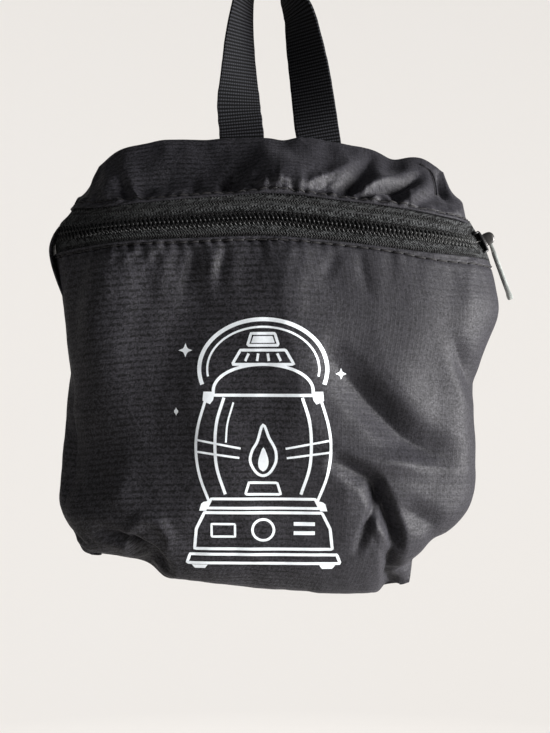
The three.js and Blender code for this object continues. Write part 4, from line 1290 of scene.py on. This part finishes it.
def top_seam():
    """Side seam that shows on the top panel's right: a rounded edge, with painted shade in the groove beside it, a thin
    black tube along the groove on each side of the edge.
    """
    tree = BVHTree.FromPolygons([Vector(v) for v in top_grid.reshape(-1, 3)], [tuple(int(i) for i in f) for f in grid_faces(top_grid.shape[1] - 1, top_grid.shape[0] - 1)])
    c = along(np.array([(70.0, -80.2), (73.6, -82.6), (75.3, -86.0), (75.8, -90.5), (75.9, -95.6)]), np.linspace(0, 4, 40))
    # the two groove tubes are painted shade: black tubes laid where the grooves beside the seam's edge are shaded
    for name, dx, r, mat, sl in (("side_seam_edge", 0.0, 0.55, CLOTH_M, "ripstop"), ("side_seam_groove_shade", 0.95, 0.3, THREAD_M, "ripstop"), ("side_seam_inner_groove_shade", -0.85, 0.22, THREAD_M, "ripstop")):
        pts = []
        for x, z in c:
            hit, nn, _, _ = tree.ray_cast(Vector((x + dx, -90.0, z)), Vector((0, 1, 0)))
            if hit is not None:
                nn = nn if nn.y < 0 else -nn
                pts.append(np.array(hit) + np.array(nn) * (0.05 if r > 0.4 else -0.05))
        v, f = tube(pts, r, 10, up=(0, -1, 0))
        new_object(name, v, f, mat, uvs=np.stack([np.zeros(len(v)), np.linspace(0, 16, len(v))], -1))


top_seam()
v, f = lantern()
new_object("lantern_print", v, f, PRINT_M)

# ------------------------------------------------------------------ stage, light and camera
def stage_mesh():
    """Round pale studio: a floor that curves up into a wall that glows, brightest behind the object: painted light in
    the wall's own emission, which also lights the object softly.
    """
    floor, radius, r = -1.4, 2.3, 0.3
    prof = [(0.02, floor), (1.0, floor)] + [(radius - r + r * math.sin(a), floor + r - r * math.cos(a)) for a in np.linspace(0, math.pi / 2, 12)] + [(radius, 0.0), (radius, 1.6)]
    k, m = len(prof), 96
    ring = [2 * math.pi * i / m for i in range(m)]
    verts = [(q * math.cos(w), q * math.sin(w), z) for w in ring for q, z in prof]
    faces = [(i * k + j, i * k + j + 1, (i + 1) % m * k + j + 1, (i + 1) % m * k + j) for i in range(m) for j in range(k - 1)]
    faces.append(tuple(i * k for i in range(m))[::-1])
    me = bpy.data.meshes.new("studio")
    me.from_pydata(verts, [], faces)
    me.polygons.foreach_set("use_smooth", np.full(len(me.polygons), True))
    ob = bpy.data.objects.new("studio", me)
    bpy.context.scene.collection.objects.link(ob)
    n = Nodes("pale_glowing_wall")
    obj = n.new("ShaderNodeTexCoord").outputs["Object"]
    sep = n.new("ShaderNodeSeparateXYZ")
    n.link(obj, sep.inputs[0])
    f = n.noise(obj, 1.5, 3, 0.5)
    tone = n.mix(f, (0.60, 0.585, 0.565), (0.63, 0.615, 0.595))
    n.set(Base_Color=n.mix(n.ramp(sep.outputs[2], floor, floor + 0.4), tone, (0.22, 0.215, 0.21)), Roughness=0.9)
    # painted light: the wall's glow, strongest behind the object, dimmed toward the sides and faded out toward the
    # floor
    behind = n.math("SMOOTH_MIN", n.ramp(sep.outputs[1], 0.2, 1.6), 1.0, 0.1)
    rise = n.ramp(sep.outputs[2], floor, floor + 0.3)
    aside = n.ramp(n.math("ABSOLUTE", sep.outputs[0]), 0.74, 1.3)
    wall = n.math("ADD", n.math("MULTIPLY", n.math("MULTIPLY", behind, n.math("SUBTRACT", 1.0, n.math("MULTIPLY", aside, 0.92))), WALL - ROOM), ROOM)
    n.set(Emission_Color=n.mix(f, (0.995, 0.955, 0.905), (1.0, 0.97, 0.935)), Emission_Strength=n.math("MULTIPLY", wall, rise))
    n.m.cycles.emission_sampling = "NONE"
    me.materials.append(n.m)


WALL, ROOM = 0.645, 0.015
stage_mesh()


def area(name, place, target, size, power, colour=(1, 1, 1)):
    light = bpy.data.lights.new(name, "AREA")
    light.shape, light.size, light.energy, light.color = "SQUARE", size, power, colour
    ob = bpy.data.objects.new(name, light)
    ob.location = place
    ob.rotation_euler = (Vector(target) - Vector(place)).to_track_quat("-Z", "Y").to_euler()
    bpy.context.scene.collection.objects.link(ob)


MID = (0.003, -0.01, -0.17)
area("key_right", (1.75, -0.62, -0.20), MID, 0.9, 122, (1.0, 0.985, 0.975))
area("fill_left", (-0.85, -1.10, 0.85), MID, 0.6, 2.3, (0.93, 0.96, 1.0))

world = bpy.data.worlds.new("studio")
bpy.context.scene.world = world
world.use_nodes = True
world.node_tree.nodes["Background"].inputs[0].default_value = (0.94, 0.955, 1.0, 1)
world.node_tree.nodes["Background"].inputs[1].default_value = 0.03

bpy.context.scene.view_settings.view_transform = "Standard"

cam = bpy.data.cameras.new("camera")
cam.sensor_fit = "AUTO"
cam.sensor_width = 36
cam.lens = 57.7
cam.clip_end = 50
cam_ob = bpy.data.objects.new("camera", cam)
cam_ob.location = (0.00354, -0.532, -0.1719)
cam_ob.rotation_euler = (math.pi / 2, 0, 0)
bpy.context.scene.collection.objects.link(cam_ob)
bpy.context.scene.camera = cam_ob
